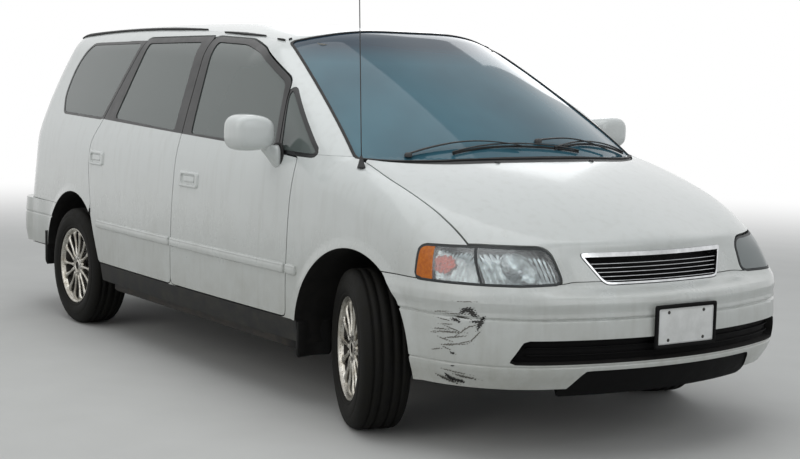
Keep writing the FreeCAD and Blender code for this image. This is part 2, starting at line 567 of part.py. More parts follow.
tyre_half = [
    (barrel_r + 12.3, half_rim - 9.6), (rim_r + 0.3, half_rim - 9.6), (rim_r + 0.3, half_rim + 0.3),
    (rim_r + 10, half_rim + 6), (252, half_tyre), (294, half_tyre - 8), (tyre_r, half_tyre - 30),
]
tyre = revolved(tyre_half + [(r, -s) for r, s in reversed(tyre_half)])
rim_half = [
    (barrel_r + 12, 0), (barrel_r + 12, half_rim - 9.3), (rim_r, half_rim - 9.3), (rim_r, half_rim),
    (barrel_r, half_rim),
]
barrel = revolved([(r, s) for r, s in rim_half] + [(r, -s) for r, s in reversed(rim_half[1:])])
spokes = []
for i in range(14):
    outline = [(-5, 50), (5, 50), (9, barrel_r + 4), (-9, barrel_r + 4), (-5, 50)]
    blade = Part.Face(Part.makePolygon([V(across, 0, r) for across, r in outline])).extrude(V(0, 24, 0))
    blade.translate(V(0, half_rim - 34, 0))
    blade.rotate(V(0, 0, 0), V(0, 1, 0), (i // 2) * 360 / 7 + (12.5 if i % 2 else -12.5) + 0.01)
    spokes.append(blade)
hub = Part.makeCylinder(size("hub_radius"), 50, V(0, 25, 0), V(0, 1, 0))
rim = barrel.fuse(spokes + [hub]).cut(Part.makeCylinder(20.3, 200, V(0, -60, 0), V(0, 1, 0)))
rim = max(rim.Solids, key=lambda s: s.Volume)
WHEELS = [
    ("front_right", front_axle, -size("front_track") / 2, -size("steer_right_wheel")),
    ("front_left", front_axle, size("front_track") / 2, -size("steer_left_wheel")),
    ("rear_right", rear_axle, -size("rear_track") / 2, 0),
    ("rear_left", rear_axle, size("rear_track") / 2, 0),
]
inset = size("kingpin_inset")


def at_wheel(shape, x, y, angle):
    """Set a shape made about the wheel centre on its hub, turned about the kingpin."""
    shape = shape.copy()
    if y < 0:
        shape = shape.mirror(V(0, 0, 0), V(0, 1, 0))
    shape.translate(V(x, y, tyre_r))
    side = 1 if y > 0 else -1
    shape.rotate(V(x, y - side * inset, 0), V(0, 0, 1), angle)
    return shape


for name, x, y, angle in WHEELS:
    piece("tyre_" + name, at_wheel(tyre, x, y, angle))
    piece("rim_" + name, at_wheel(rim, x, y, angle))

# Knuckles, hub carriers and arms.
spindle = Part.makeCylinder(20, 76, V(0, -8, 0), V(0, 1, 0))
disc = Part.makeCylinder(size("disc_radius"), size("disc_thick"), V(0, -6, 0), V(0, 1, 0))
boss = Part.makeCylinder(46, 44, V(0, -50, 0), V(0, 1, 0))
post = Part.makeCylinder(20, 190, V(0, -inset, -95), V(0, 0, 1))
knuckle = post.fuse([boss, disc, spindle]).cut(Part.makeCylinder(9.3, 400, V(0, -inset, -200), V(0, 0, 1)))
for name, x, y, angle in WHEELS[:2]:
    piece("knuckle_" + name[6:], at_wheel(knuckle, x, y, angle))
pin_y = size("front_track") / 2 - inset
arms = []
ARMS = [(tyre_r - 119.3, tyre_r - 95.3, tyre_r - 70, 215), (tyre_r + 95.3, tyre_r + 119.3, tyre_r + 70, 450)]
for low, high, end, mount_z in ARMS:
    middle = (low + high) / 2
    arms.append(tube(24, (front_axle, -pin_y, low), (front_axle, -pin_y, high)))
    arms.append(tube(9, (front_axle, -pin_y, low), (front_axle, -pin_y, end)))
    for spread in (-88, 88):
        arms.append(tube(10, (front_axle, -pin_y, middle), (front_axle + spread, -430, mount_z)))
for spread in (-88, 88):
    arms.append(box(front_axle + spread - 22, front_axle + spread + 22, -446, -416, 190, 480))
    arms.append(box(front_axle + spread - 22, front_axle + spread + 22, -446, 0, 190, 240))
arms.append(box(front_axle - 249.7, front_axle + 300, -416, -360, 190, 240))
half_frame = arms[0].fuse(arms[1:])
frame = half_frame.fuse(mirrored(half_frame)).removeSplitter()
piece("front_subframe", frame)
rear_y = size("rear_track") / 2
rear_hub = boss.fuse([disc, spindle])
rear_half = at_wheel(rear_hub, rear_axle, -rear_y, 0).fuse([
    tube(20, (rear_axle, -rear_y + 44, tyre_r), (rear_axle, -624, 206)),
    Part.makeSphere(22, V(rear_axle, -624, 206)),
    tube(22, (rear_axle, -624, 206), (rear_axle, 1, 206)),
    tube(15, (rear_axle, -628, tyre_r - 16), (rear_axle + 430, -628, 200)),
    box(rear_axle + 410, rear_axle + 470, -648, -608, 186, floor_z - seat),
    tube(22, (rear_axle, -627, tyre_r - 40), (rear_axle, -627, 690)),
    tube(16, (rear_axle, -rear_y + 40, tyre_r), (rear_axle, -627, tyre_r)),
])
piece("rear_axle", rear_half.fuse(mirrored(rear_half)).removeSplitter())

doc.recompute()
for item in PIECES:
    if "Invalid" in item.State or "Error" in item.State or item.Shape.isNull() or not item.Shape.isValid():
        raise SystemExit("broken piece: " + item.Label)
    item.Shape.exportStep("parts/%s.step" % item.Label)
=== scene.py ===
import bpy
import math

import numpy as np
from mathutils import Matrix, Vector
from mathutils.bvhtree import BVHTree


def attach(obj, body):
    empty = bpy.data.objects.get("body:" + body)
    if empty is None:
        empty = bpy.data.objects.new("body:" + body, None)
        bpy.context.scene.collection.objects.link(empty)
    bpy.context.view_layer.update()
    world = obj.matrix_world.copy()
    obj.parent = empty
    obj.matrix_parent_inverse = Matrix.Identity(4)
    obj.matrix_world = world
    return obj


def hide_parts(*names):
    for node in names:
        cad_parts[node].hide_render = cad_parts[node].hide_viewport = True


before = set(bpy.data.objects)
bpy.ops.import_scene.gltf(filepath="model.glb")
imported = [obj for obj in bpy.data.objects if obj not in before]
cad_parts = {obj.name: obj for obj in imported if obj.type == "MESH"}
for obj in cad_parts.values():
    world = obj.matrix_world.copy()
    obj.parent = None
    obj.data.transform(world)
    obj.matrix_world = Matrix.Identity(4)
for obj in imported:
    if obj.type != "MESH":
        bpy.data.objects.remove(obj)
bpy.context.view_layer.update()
MM = 0.001
RIGHT, LEFT = -1, 1

# Driving sizes in millimetres, the same as the part's source: X forward, Y to the left, Z up.
WHEELBASE, AXLE_SHIFT, TYRE_R = 2830, 5, 316
FRONT_AXLE, REAR_AXLE = WHEELBASE / 2 + AXLE_SHIFT, AXLE_SHIFT - WHEELBASE / 2
NOSE_BOW, SIDE_BOW, TAIL_BOW = 1400, 42000, 2600
SHUT = 6
FRONT_ARCH, REAR_ARCH, ARCH_Z = 397, 406, 320
SILL_TOP, SILL_BOTTOM, REAR_BUMPER_TOP = 378, 286, 640
# Where along the body the tailgate, tail lamps, bumpers and nose openings start.
GATE_EDGE, TAIL_LAMP_EDGE, BUMPER_END, NOSE = -2050, -2120, 1560, 2000

# Plan sections of the body: height, nose, nose corner radius, half width, tail, tail corner radius.
LEVELS = [
    (150, 2200, 470, 830, -2270, 240), (300, 2345, 500, 880, -2366, 250), (500, 2378, 505, 895, -2378, 240),
    (640, 2348, 500, 893, -2362, 240), (800, 2225, 470, 886, -2345, 260), (1040, 2040, 430, 858, -2332, 260),
    (1170, 1950, 410, 812, -2312, 250), (1300, 1860, 400, 760, -2284, 240), (1430, 1760, 380, 707, -2236, 230),
    (1560, 1660, 360, 652, -2168, 220), (1700, 1560, 330, 590, -2085, 210),
]
# Lengthwise sections of hood, windscreen and roof: side, knee, knee height, cowl, cowl height,
# header, header height, roof height at mid length, roof height at the tail.
ROWS = [
    (0, 2255, 777, 1500, 1062, 565, 1592, 1646, 1594), (380, 2190, 774, 1445, 1060, 510, 1575, 1635, 1584),
    (580, 2115, 787, 1350, 1058, 420, 1532, 1604, 1557), (660, 2060, 797, 1295, 1057, 395, 1508, 1574, 1535),
    (740, 1995, 802, 1240, 1056, 400, 1472, 1530, 1500), (900, 1845, 782, 1085, 1000, 330, 1400, 1420, 1400),
]
HOOD_BULGE, SCREEN_BULGE = 28, 22

# Side outlines: x, z, corner radius.
FRONT_DOOR = [
    (948, 381, 30), (948, 860, 600), (970, 1044, 12), (806, 1056, 12), (700, 1356, 130), (350, 1503, 300),
    (150, 1545, 500), (-225, 1564, 30), (-121, 1073, 400), (-128, 800, 400), (-128, 381, 30),
]
REAR_DOOR = [
    (-128, 381, 30), (-128, 800, 400), (-121, 1073, 400), (-225, 1564, 30), (-955, 1562, 40), (-1130, 1113, 150),
    (-1206, 1000, 120), (-1206, 870, 200), (-1150, 690, 100), (-1150, 630, 20), (-1025, 381, 20),
]
FRONT_WINDOW = [
    (762, 1080, 14), (666, 1346, 90), (332, 1478, 250), (140, 1519, 400), (-150, 1533, 18), (-34, 1100, 18),
]
REAR_WINDOW = [(-216, 1106, 18), (-310, 1534, 18), (-905, 1532, 18), (-975, 1140, 18)]
VENT_WINDOW = [(822, 1068, 10), (716, 1330, 12), (1082, 1062, 10)]
QUARTER_WINDOW = [
    (-1150, 1138, 20), (-1000, 1532, 22), (-1690, 1528, 110), (-1828, 1440, 200), (-1832, 1250, 120),
    (-1750, 1152, 60),
]
# Plan outlines: x, y, corner radius.
SCREEN = [
    (1256, -744, 60), (1420, -560, 500), (1500, -200, 1500), (1500, 200, 1500), (1420, 560, 500), (1256, 744, 60),
    (412, 574, 30), (500, 380, 600), (548, 120, 900), (548, -120, 900), (500, -380, 600), (412, -574, 30),
]
HOOD = [
    (1262, -733, 6), (1470, -560, 500), (1556, -200, 1500), (1556, 200, 1500), (1470, 560, 500), (1262, 733, 6),
    (1500, 752, 900), (1755, 742, 900), (1990, 728, 60), (2500, 700, 20), (2500, -700, 20), (1990, -728, 60),
    (1755, -742, 900), (1500, -752, 900),
]
ROOF = [
    (392, -578, 40), (482, -380, 600), (528, -120, 900), (528, 120, 900), (482, 380, 600), (392, 578, 40),
    (-2044, 560, 40), (-2044, -560, 40),
]
SUNROOF = [(320, -360, 60), (345, -120, 900), (345, 120, 900), (320, 360, 60), (-180, 360, 60), (-180, -360, 60)]
# End outlines: y, z, corner radius.
LAMP = [
    (-459, 650, 30), (-477, 779, 54), (-700, 785, 300), (-1000, 776, 10), (-1000, 650, 10),
]
LAMP_END = 1826
GATE = [
    (-640, 648, 30), (-712, 760, 60), (-716, 1060, 200), (-566, 1700, 20), (566, 1700, 20), (716, 1060, 200),
    (712, 760, 60), (640, 648, 30),
]
REAR_GLASS = [(-632, 1120, 50), (-548, 1530, 60), (548, 1530, 60), (632, 1120, 50)]
BUMPER_FRONT = [
    (-1100, 652, 1), (-459, 652, 30), (-420, 656, 30), (420, 656, 30), (459, 652, 30), (1100, 652, 1), (1100, 100, 1),
    (-1100, 100, 1),
]
TAIL_LAMP = [(-722, 770, 12), (-722, 1050, 12), (-1000, 1080, 12), (-1000, 800, 12)]
GRILLE = [(-366, 757, 12), (366, 757, 12), (288, 644, 44), (-288, 644, 44)]
INTAKE = [(-686, 376, 12), (-642, 464, 24), (642, 464, 24), (686, 376, 12)]
LOWER_INTAKE = [(-476, 250, 10), (-420, 349, 24), (420, 349, 24), (476, 250, 10)]


def smooth_table(table):
    """A function that runs smoothly through the rows of a table, by its first column."""
    rows = np.array(table, float)
    at, values = rows[:, 0], rows[:, 1:]
    step = np.diff(at)[:, None]
    rise = np.diff(values, axis=0) / step
    slope = np.zeros_like(values)
    slope[1:-1] = (rise[:-1] * step[1:] + rise[1:] * step[:-1]) / (step[:-1] + step[1:])
    slope[0], slope[-1] = rise[0], rise[-1]

    def look(where):
        where = np.clip(where, at[0], at[-1])
        i = np.clip(np.searchsorted(at, where) - 1, 0, len(at) - 2)
        width = (at[i + 1] - at[i])[:, None]
        part = ((where - at[i]) / (at[i + 1] - at[i]))[:, None]
        a = 2 * part**3 - 3 * part**2 + 1
        b = part**3 - 2 * part**2 + part
        c = part**3 - part**2
        return a * values[i] + b * width * slope[i] + (1 - a) * values[i + 1] + c * width * slope[i + 1]

    return look


level_at = smooth_table(LEVELS)
row_at = smooth_table([(-r[0],) + r[1:] for r in reversed(ROWS[1:])] + ROWS)


def corner_centre(c1, r1, c2, r2, r, ahead):
    """Centre of the corner arc that touches two arcs from inside, the one further ahead or behind."""
    a, b = r1 - r, r2 - r
    dx, dy = c2[0] - c1[0], c2[1] - c1[1]
    d = np.hypot(dx, dy)
    k = (a * a - b * b + d * d) / (2 * d)
    h = np.sqrt(np.maximum(a * a - k * k, 0))
    ux, uy = dx / d, dy / d
    x1, y1 = c1[0] + k * ux - h * uy, c1[1] + k * uy + h * ux
    x2, y2 = c1[0] + k * ux + h * uy, c1[1] + k * uy - h * ux
    pick = (x1 > x2) == ahead
    return np.where(pick, x1, x2), np.where(pick, y1, y2)


def plan_gap(p):
    """How far points lie outside the plan outline at their own height."""
    nose, nose_corner, half, tail, tail_corner = level_at(p[:, 2]).T
    x, y = p[:, 0], np.abs(p[:, 1])
    zero = np.zeros_like(x)
    front, rear, side = (nose - NOSE_BOW, zero), (tail + TAIL_BOW, zero), (zero, half - SIDE_BOW)
    fx, fy = corner_centre(front, NOSE_BOW, side, SIDE_BOW, nose_corner, True)
    rx, ry = corner_centre(rear, TAIL_BOW, side, SIDE_BOW, tail_corner, False)
    to_nose = (fx - front[0]) * y - fy * (x - front[0])
    to_side_front = (fx - side[0]) * (y - side[1]) - (fy - side[1]) * x
    to_tail = (rx - rear[0]) * y - ry * (x - rear[0])
    to_side_rear = (rx - side[0]) * (y - side[1]) - (ry - side[1]) * x
    gap = np.hypot(x, y - side[1]) - SIDE_BOW
    ahead, behind = to_side_front < 0, to_side_rear > 0
    gap = np.where(ahead & (x > 0), np.hypot(x - fx, y - fy) - nose_corner, gap)
    gap = np.where(ahead & (to_nose < 0) & (x > 0), np.hypot(x - front[0], y) - NOSE_BOW, gap)
    gap = np.where(behind & (x < 0), np.hypot(x - rx, y - ry) - tail_corner, gap)
    gap = np.where(behind & (to_tail > 0) & (x < 0), np.hypot(x - rear[0], y) - TAIL_BOW, gap)
    return gap


def arc_height(x, x1, z1, x2, z2, rise):
    """Height of a shallow arc from (x1, z1) to (x2, z2) that bulges up by rise, carried on past its ends."""
    dx, dz = x2 - x1, z2 - z1
    chord = np.hypot(dx, dz)
    radius = (chord**2 / 4 + rise**2) / (2 * rise)
    nx, nz = -dz / chord, dx / chord
    flip = np.where(nz < 0, -1, 1)
    nx, nz = nx * flip, nz * flip
    cx, cz = (x1 + x2) / 2 + nx * (rise - radius), (z1 + z2) / 2 + nz * (rise - radius)
    return cz + np.sqrt(np.maximum(radius**2 - (x - cx) ** 2, radius**2 * 0.02))


def crown_gap(p):
    """How far points lie above the hood, windscreen and roof."""
    knee, knee_z, cowl, cowl_z, header, header_z, roof_z, tail_z = row_at(p[:, 1]).T
    x = p[:, 0]
    hood = arc_height(x, knee, knee_z, cowl, cowl_z, HOOD_BULGE)
    screen = arc_height(x, cowl, cowl_z, header, header_z, SCREEN_BULGE)
    span = header + 2550
    mid = -900.0
    line = header_z + (tail_z - header_z) * (header - mid) / span
    lift = (roof_z - line) / (4 * (header - mid) * (mid + 2550) / span**2)
    roof = arc_height(x, header, header_z, header * 0 - 2550, tail_z, np.maximum(lift, 5))
    top = np.maximum(hood, screen)
    soft = np.clip(0.5 + (roof - top) / 60, 0, 1)
    top = roof * (1 - soft) + top * soft - 15 * soft * (1 - soft) * 2
    return p[:, 2] - top


def slope_of(field, p, step=2.0):
    grad = np.empty_like(p)
    for axis in range(3):
        shift = np.zeros(3)
        shift[axis] = step
        grad[:, axis] = (field(p + shift) - field(p - shift)) / (2 * step)
    return grad


def edge_round(p):
    """Radius where the sides meet the top, tighter round the nose and tail."""
    nose = np.clip((p[:, 0] - 1850) / 300, 0, 1)
    tail = np.clip((-1950 - p[:, 0]) / 150, 0, 1)
    screen = np.clip((p[:, 2] - 1040) / 60, 0, 1) * np.clip((p[:, 0] - 250) / 150, 0, 1)
    return 75 - 42 * nose - 35 * tail - 30 * screen


def skin_gap(p):
    """Signed distance to the body's skin, with its creases rounded."""
    plan, crown = plan_gap(p), crown_gap(p) * 0.9
    radius = edge_round(p)
    a, b = plan + radius, crown + radius
    both = np.hypot(np.maximum(a, 0), np.maximum(b, 0)) - radius
    return np.where((a > 0) & (b > 0), both, np.maximum(plan, crown))


def skin_normal(p):
    grad = slope_of(skin_gap, p)
    return grad / np.linalg.norm(grad, axis=1)[:, None]


def to_skin(p, rounds=3):
    for _ in range(rounds):
        grad = slope_of(skin_gap, p)
        size = (grad**2).sum(1)
        p = p - grad * (skin_gap(p) / size)[:, None]
    return p


class Sheet:
    """Triangles on the skin: points p, triangles t."""

    def __init__(self, p, t):
        self.p, self.t = p, t

    def near(self, low, high):
        """The triangles that reach into a box."""
        ok = np.all((self.p > np.array(low)) & (self.p < np.array(high)), axis=1)
        return Sheet(self.p, self.t[ok[self.t].any(1)]).tidy()

    def tidy(self):
        used = np.unique(self.t)
        renumber = np.full(len(self.p), -1)
        renumber[used] = np.arange(len(used))
        return Sheet(self.p[used], renumber[self.t])

    def keep(self, gap, both=False, settle=True):
        """Cut the sheet along gap = 0 and keep the side where gap is below 0, or both sides."""
        p, t = self.p, self.t
        g = gap(p)
        g = np.where(np.abs(g) < 1e-4, -1e-4, g)
        out = g[t] > 0
        count = out.sum(1)
        whole = t[count == 0]
        split = t[(count > 0) & (count < 3)]
        flags = out[(count > 0) & (count < 3)]
        odd = np.where(flags.sum(1) == 1, flags.argmax(1), (~flags).argmax(1))
        rows = np.arange(len(split))
        a, b, c = (split[rows, (odd + k) % 3] for k in range(3))
        odd_out = flags[rows, odd]
        pairs = np.concatenate([np.stack([a, b], 1), np.stack([a, c], 1)])
        key = np.sort(pairs, 1)
        unique, place = np.unique(key, axis=0, return_inverse=True)
        place = place.reshape(-1)
        ga, gb = g[unique[:, 0]], g[unique[:, 1]]
        part = (ga / (ga - gb))[:, None]
        fresh = p[unique[:, 0]] * (1 - part) + p[unique[:, 1]] * part
        if settle and len(fresh):
            fresh = to_skin(fresh, 1)
        ab, ac = place[:len(a)] + len(p), place[len(a):] + len(p)
        inner = ~odd_out
        tris = [whole, np.stack([a, ab, ac], 1)[inner], np.stack([ab, b, c], 1)[odd_out],
                np.stack([ab, c, ac], 1)[odd_out]]
        if both:
            tris += [t[count == 3], np.stack([a, ab, ac], 1)[odd_out]]
            tris += [np.stack([ab, b, c], 1)[inner], np.stack([ab, c, ac], 1)[inner]]
        return Sheet(np.concatenate([p, fresh]), np.concatenate(tris)).tidy()

    def rim(self):
        """Directed edges that bound the sheet."""
        t = self.t
        edges = np.concatenate([t[:, [0, 1]], t[:, [1, 2]], t[:, [2, 0]]])
        key = np.sort(edges, 1)
        _, first, count = np.unique(key, axis=0, return_index=True, return_counts=True)
        return edges[first[count == 1]]


def rounded(points):
    """Outline points round a polygon whose corners (u, v, radius) are arcs."""
    n = len(points)
    out = []
    for i in range(n):
        p0, p1, p2 = (np.array(points[(i + k) % n][:2], float) for k in (-1, 0, 1))
        d1, d2 = p1 - p0, p2 - p1
        l1, l2 = np.linalg.norm(d1), np.linalg.norm(d2)
        d1, d2 = d1 / l1, d2 / l2
        angle = math.acos(max(-1, min(1, float(d1 @ d2))))
        reach = points[i][2] * math.tan(angle / 2)
        a, b = p1 - d1 * reach, p1 + d2 * reach
        for k in range(9):
            s = k / 8
            out.append(a * (1 - s) ** 2 + p1 * 2 * s * (1 - s) * 0.93 + (a + b) / 2 * 2 * s * (1 - s) * 0.07
                       + b * s * s)
    return np.array(out)


def outline_gap(points, axes):
    """Signed distance to an outline, seen along the axis that axes leaves out."""
    ring = rounded(points)
    a, b = ring, np.roll(ring, -1, 0)
    keep = np.linalg.norm(b - a, axis=1) > 1e-6
    a, b = a[keep], b[keep]

    def gap(p):
        q = p[:, axes]
        best = np.full(len(q), 1e18)
        inside = np.zeros(len(q), bool)
        for s, e in zip(a, b):
            d = e - s
            w = q - s
            k = np.clip((w @ d) / (d @ d), 0, 1)[:, None]
            best = np.minimum(best, ((w - d * k) ** 2).sum(1))
            hit = (s[1] > q[:, 1]) != (e[1] > q[:, 1])
            cross = s[0] + (q[:, 1] - s[1]) / (d[1] if d[1] else 1e-9) * d[0]
            inside ^= hit & (q[:, 0] < cross)
        return np.where(inside, -1, 1) * np.sqrt(best)

    return gap


SIDE, PLAN, END = [0, 2], [0, 1], [1, 2]


def base_sheet(step=16.0):
    """The whole skin, met by rays from a line inside the body."""
    spine_z, rear, front = 620.0, -1650.0, 1350.0
    angles = np.radians(np.arange(-90, 270.001, 1.2))
    frames = []
    for lean in np.radians(np.arange(-90, 0, 1.25)):
        frames.append((rear, lean))
    for x in np.arange(rear, front + 1, step):
        frames.append((x, 0.0))
    for lean in np.radians(np.arange(1.25, 90.01, 1.25)):
        frames.append((front, lean))
    frames = np.array(frames)
    lean, angle = np.meshgrid(frames[:, 1], angles, indexing="ij")
    start = np.stack([np.repeat(frames[:, 0], len(angles)), np.zeros(lean.size), np.full(lean.size, spine_z)], 1)
    lean, angle = lean.ravel(), angle.ravel()
    ray = np.stack([np.sin(lean), np.cos(lean) * np.cos(angle), np.cos(lean) * np.sin(angle)], 1)
    low, high = np.zeros(len(ray)), np.full(len(ray), 2600.0)
    for _ in range(26):
        middle = (low + high) / 2
        inside = skin_gap(start + ray * middle[:, None]) < 0
        low, high = np.where(inside, middle, low), np.where(inside, high, middle)
    p = start + ray * low[:, None]
    rows, cols = len(frames), len(angles)
    grid = np.arange(rows * cols).reshape(rows, cols)
    a, b, c, d = grid[:-1, :-1].ravel(), grid[1:, :-1].ravel(), grid[1:, 1:].ravel(), grid[:-1, 1:].ravel()
    t = np.concatenate([np.stack([a, b, c], 1), np.stack([a, c, d], 1)])
    normal = np.cross(p[t[:, 1]] - p[t[:, 0]], p[t[:, 2]] - p[t[:, 0]])
    middle = p[t].mean(1)
    outward = (normal * skin_normal(middle)).sum(1)
    if np.median(outward) < 0:
        t = t[:, ::-1]
    area = np.linalg.norm(normal, axis=1)
    t = t[area > 1e-3]
    return Sheet(p, t)


SKIN = base_sheet().keep(lambda p: 200 - p[:, 2])
RIGHT_SKIN = SKIN.near((-3000, -2000, 0), (3000, 60, 2000))


# Gaps that cut the sheet. Each is below 0 inside its outline.
def either(*gaps):
    return lambda p: np.minimum.reduce([g(p) for g in gaps])


def both_of(*gaps):
    return lambda p: np.maximum.reduce([g(p) for g in gaps])


def outside(gap, grow=0.0):
    return lambda p: grow - gap(p)


def beyond(axis, value, sense=1):
    """Below 0 where the coordinate is past value, in the direction of sense."""
    return lambda p: (value - p[:, axis]) * sense


HALF = SHUT / 2
front_door_gap, rear_door_gap = outline_gap(FRONT_DOOR, SIDE), outline_gap(REAR_DOOR, SIDE)
front_window_gap, rear_window_gap = outline_gap(FRONT_WINDOW, SIDE), outline_gap(REAR_WINDOW, SIDE)
vent_gap, quarter_gap = outline_gap(VENT_WINDOW, SIDE), outline_gap(QUARTER_WINDOW, SIDE)
screen_gap, hood_gap, roof_gap = outline_gap(SCREEN, PLAN), outline_gap(HOOD, PLAN), outline_gap(ROOF, PLAN)
sunroof_gap, gate_gap, rear_glass_gap = outline_gap(SUNROOF, PLAN), outline_gap(GATE, END), outline_gap(REAR_GLASS,
    END)
lamp_gap, bumper_gap, grille_gap = outline_gap(LAMP, END), outline_gap(BUMPER_FRONT, END), outline_gap(GRILLE, END)
intake_gap, lower_intake_gap = outline_gap(INTAKE, END), outline_gap(LOWER_INTAKE, END)
tail_lamp_gap = outline_gap(TAIL_LAMP, END)


def lamp_zone(p):
    """Below 0 inside the headlamp's outline, its outer end rounded too."""
    a, b = lamp_gap(p) + 26, LAMP_END + 26 - p[:, 0]
    both = np.hypot(np.maximum(a, 0), np.maximum(b, 0)) - 26
    return np.where((a > 0) & (b > 0), both, np.maximum(a, b) - 26)


def left_lamp_zone(p):
    return lamp_zone(p * np.array([1, -1, 1]))


def arch_gap(p):
    front = np.hypot(p[:, 0] - FRONT_AXLE, p[:, 2] - ARCH_Z) - FRONT_ARCH
    rear = np.hypot(p[:, 0] - REAR_AXLE, p[:, 2] - ARCH_Z) - REAR_ARCH
    return np.minimum(front, rear)


def belt_gap(p):
    """Below 0 above the belt line, where the doors' paint ends and the black window frames start."""
    return 1064 + (762 - p[:, 0]) * 0.0345 - p[:, 2]


# Materials.
def tone(code):
    """Linear colour of an sRGB hex value."""
    parts = [int(code[i:i + 2], 16) / 255 for i in (1, 3, 5)]
    return tuple(c / 12.92 if c <= 0.04045 else ((c + 0.055) / 1.055) ** 2.4 for c in parts) + (1.0,)


def add_node(tree, kind, settings=None, links=None):
    """A node with its settings: sockets by name or number, and the node's own properties in lower case."""
    item = tree.nodes.new(kind)
    for key, value in (settings or {}).items():
        if isinstance(key, str) and hasattr(item, key) and key not in item.inputs:
            setattr(item, key, value)
        else:
            item.inputs[key].default_value = value
    for key, source in (links or {}).items():
        tree.links.new(source, item.inputs[key])
    return item


def finish(name, color, rough, metallic=0.0, **sockets):
    """A new material with one Principled shader; returns the material, its tree and its shader."""
    material = bpy.data.materials.new(name)
    material.use_nodes = True
    tree = material.node_tree
    shader = tree.nodes["Principled BSDF"]
    shader.inputs["Base Color"].default_value = tone(color)
    shader.inputs["Roughness"].default_value = rough
    shader.inputs["Metallic"].default_value = metallic
    for key, value in sockets.items():
        shader.inputs[key.replace("_", " ")].default_value = value
    return material, tree, shader


def mottled(name, color, second, rough, grain, amount=0.5, bump=0.0, bump_grain=None, metallic=0.0, spread=0.08,
            **sockets):
    """A finish whose colour drifts between two tones over patches of grain millimetres, with a fine bump."""
    material, tree, shader = finish(name, color, rough, metallic, **sockets)
    place = add_node(tree, "ShaderNodeTexCoord").outputs["Object"]
    patch = add_node(tree, "ShaderNodeTexNoise", {"Scale": 1000 / grain, "Detail": 6.0, "Roughness": 0.6},
                     {"Vector": place})
    share = add_node(tree, "ShaderNodeMapRange", {"From Min": 0.35, "From Max": 0.7, "To Min": 0.0, "To Max": amount},
                     {"Value": patch.outputs["Fac"]})
    mix = add_node(tree, "ShaderNodeMix", {"data_type": "RGBA", 6: tone(color), 7: tone(second)},
                   {0: share.outputs[0]})
    tree.links.new(mix.outputs[2], shader.inputs["Base Color"])
    gloss = add_node(tree, "ShaderNodeMapRange",
                     {"From Min": 0.3, "From Max": 0.75, "To Min": max(rough - spread, 0.02),
                                                 "To Max": min(rough + spread, 1.0)}, {"Value": patch.outputs["Fac"]})
    tree.links.new(gloss.outputs[0], shader.inputs["Roughness"])
    if bump:
        fine = add_node(tree, "ShaderNodeTexNoise", {"Scale": 1000 / (bump_grain or grain), "Detail": 3.0},
                        {"Vector": place})
        lump = add_node(tree, "ShaderNodeBump", {"Strength": 1.0, "Distance": bump * MM},
                        {"Height": fine.outputs["Fac"]})
        tree.links.new(lump.outputs[0], shader.inputs["Normal"])
    return material


def body_paint():
    """Baked white enamel on pressed steel: smooth gloss, dulled by road dirt low down and by rain streaks."""
    material, tree, shader = finish("baked_white_enamel", "#D3D7D5", 0.26, Coat_Weight=0.5, Coat_Roughness=0.1)
    place = add_node(tree, "ShaderNodeTexCoord").outputs["Object"]
    height = add_node(tree, "ShaderNodeSeparateXYZ", {}, {0: place})
    low = add_node(tree, "ShaderNodeMapRange", {"From Min": 1.0, "From Max": 0.3, "To Min": 0.0, "To Max": 1.3},
                   {"Value": height.outputs["Z"]})
    cloud = add_node(tree, "ShaderNodeTexNoise", {"Scale": 5.0, "Detail": 9.0, "Roughness": 0.68}, {"Vector": place})
    streak_place = add_node(tree, "ShaderNodeMapping", {"Scale": (9.0, 9.0, 1.1)}, {"Vector": place})
    streak = add_node(tree, "ShaderNodeTexNoise", {"Scale": 3.0, "Detail": 6.0}, {"Vector": streak_place.outputs[0]})
    road = add_node(tree, "ShaderNodeMath", {"operation": "MULTIPLY"}, {0: low.outputs[0], 1: cloud.outputs["Fac"]})
    film = add_node(tree, "ShaderNodeMapRange", {"From Min": 0.5, "From Max": 0.8, "To Min": 0.0, "To Max": 0.12},
                    {"Value": streak.outputs["Fac"]})
    dirt = add_node(tree, "ShaderNodeMath", {"operation": "MULTIPLY_ADD", 1: 0.62, "use_clamp": True},
                    {0: road.outputs[0], 2: film.outputs[0]})
    mix = add_node(tree, "ShaderNodeMix", {"data_type": "RGBA", 6: tone("#D3D7D5"), 7: tone("#8A8778")},
                   {0: dirt.outputs[0]})
    tree.links.new(mix.outputs[2], shader.inputs["Base Color"])
    gloss = add_node(tree, "ShaderNodeMapRange", {"From Min": 0.1, "From Max": 0.8, "To Min": 0.24, "To Max": 0.5},
                     {"Value": dirt.outputs[0]})
    tree.links.new(gloss.outputs[0], shader.inputs["Roughness"])
    return material


def glass(name, color, clear, rough=0.03, haze=0.09):
    """Float glass tinted in the melt: hard gloss with a green-grey cast, dulled in patches by a film of dust."""
    material, tree, shader = finish(name, color, rough, IOR=1.5, Transmission_Weight=clear)
    dust = add_node(tree, "ShaderNodeTexNoise", {"Scale": 14.0, "Detail": 8.0},
                    {"Vector": add_node(tree, "ShaderNodeTexCoord").outputs["Object"]})
    film = add_node(tree, "ShaderNodeMapRange",
                    {"From Min": 0.4, "From Max": 0.75, "To Min": rough, "To Max": rough + haze},
                    {"Value": dust.outputs["Fac"]})
    tree.links.new(film.outputs[0], shader.inputs["Roughness"])
    return material


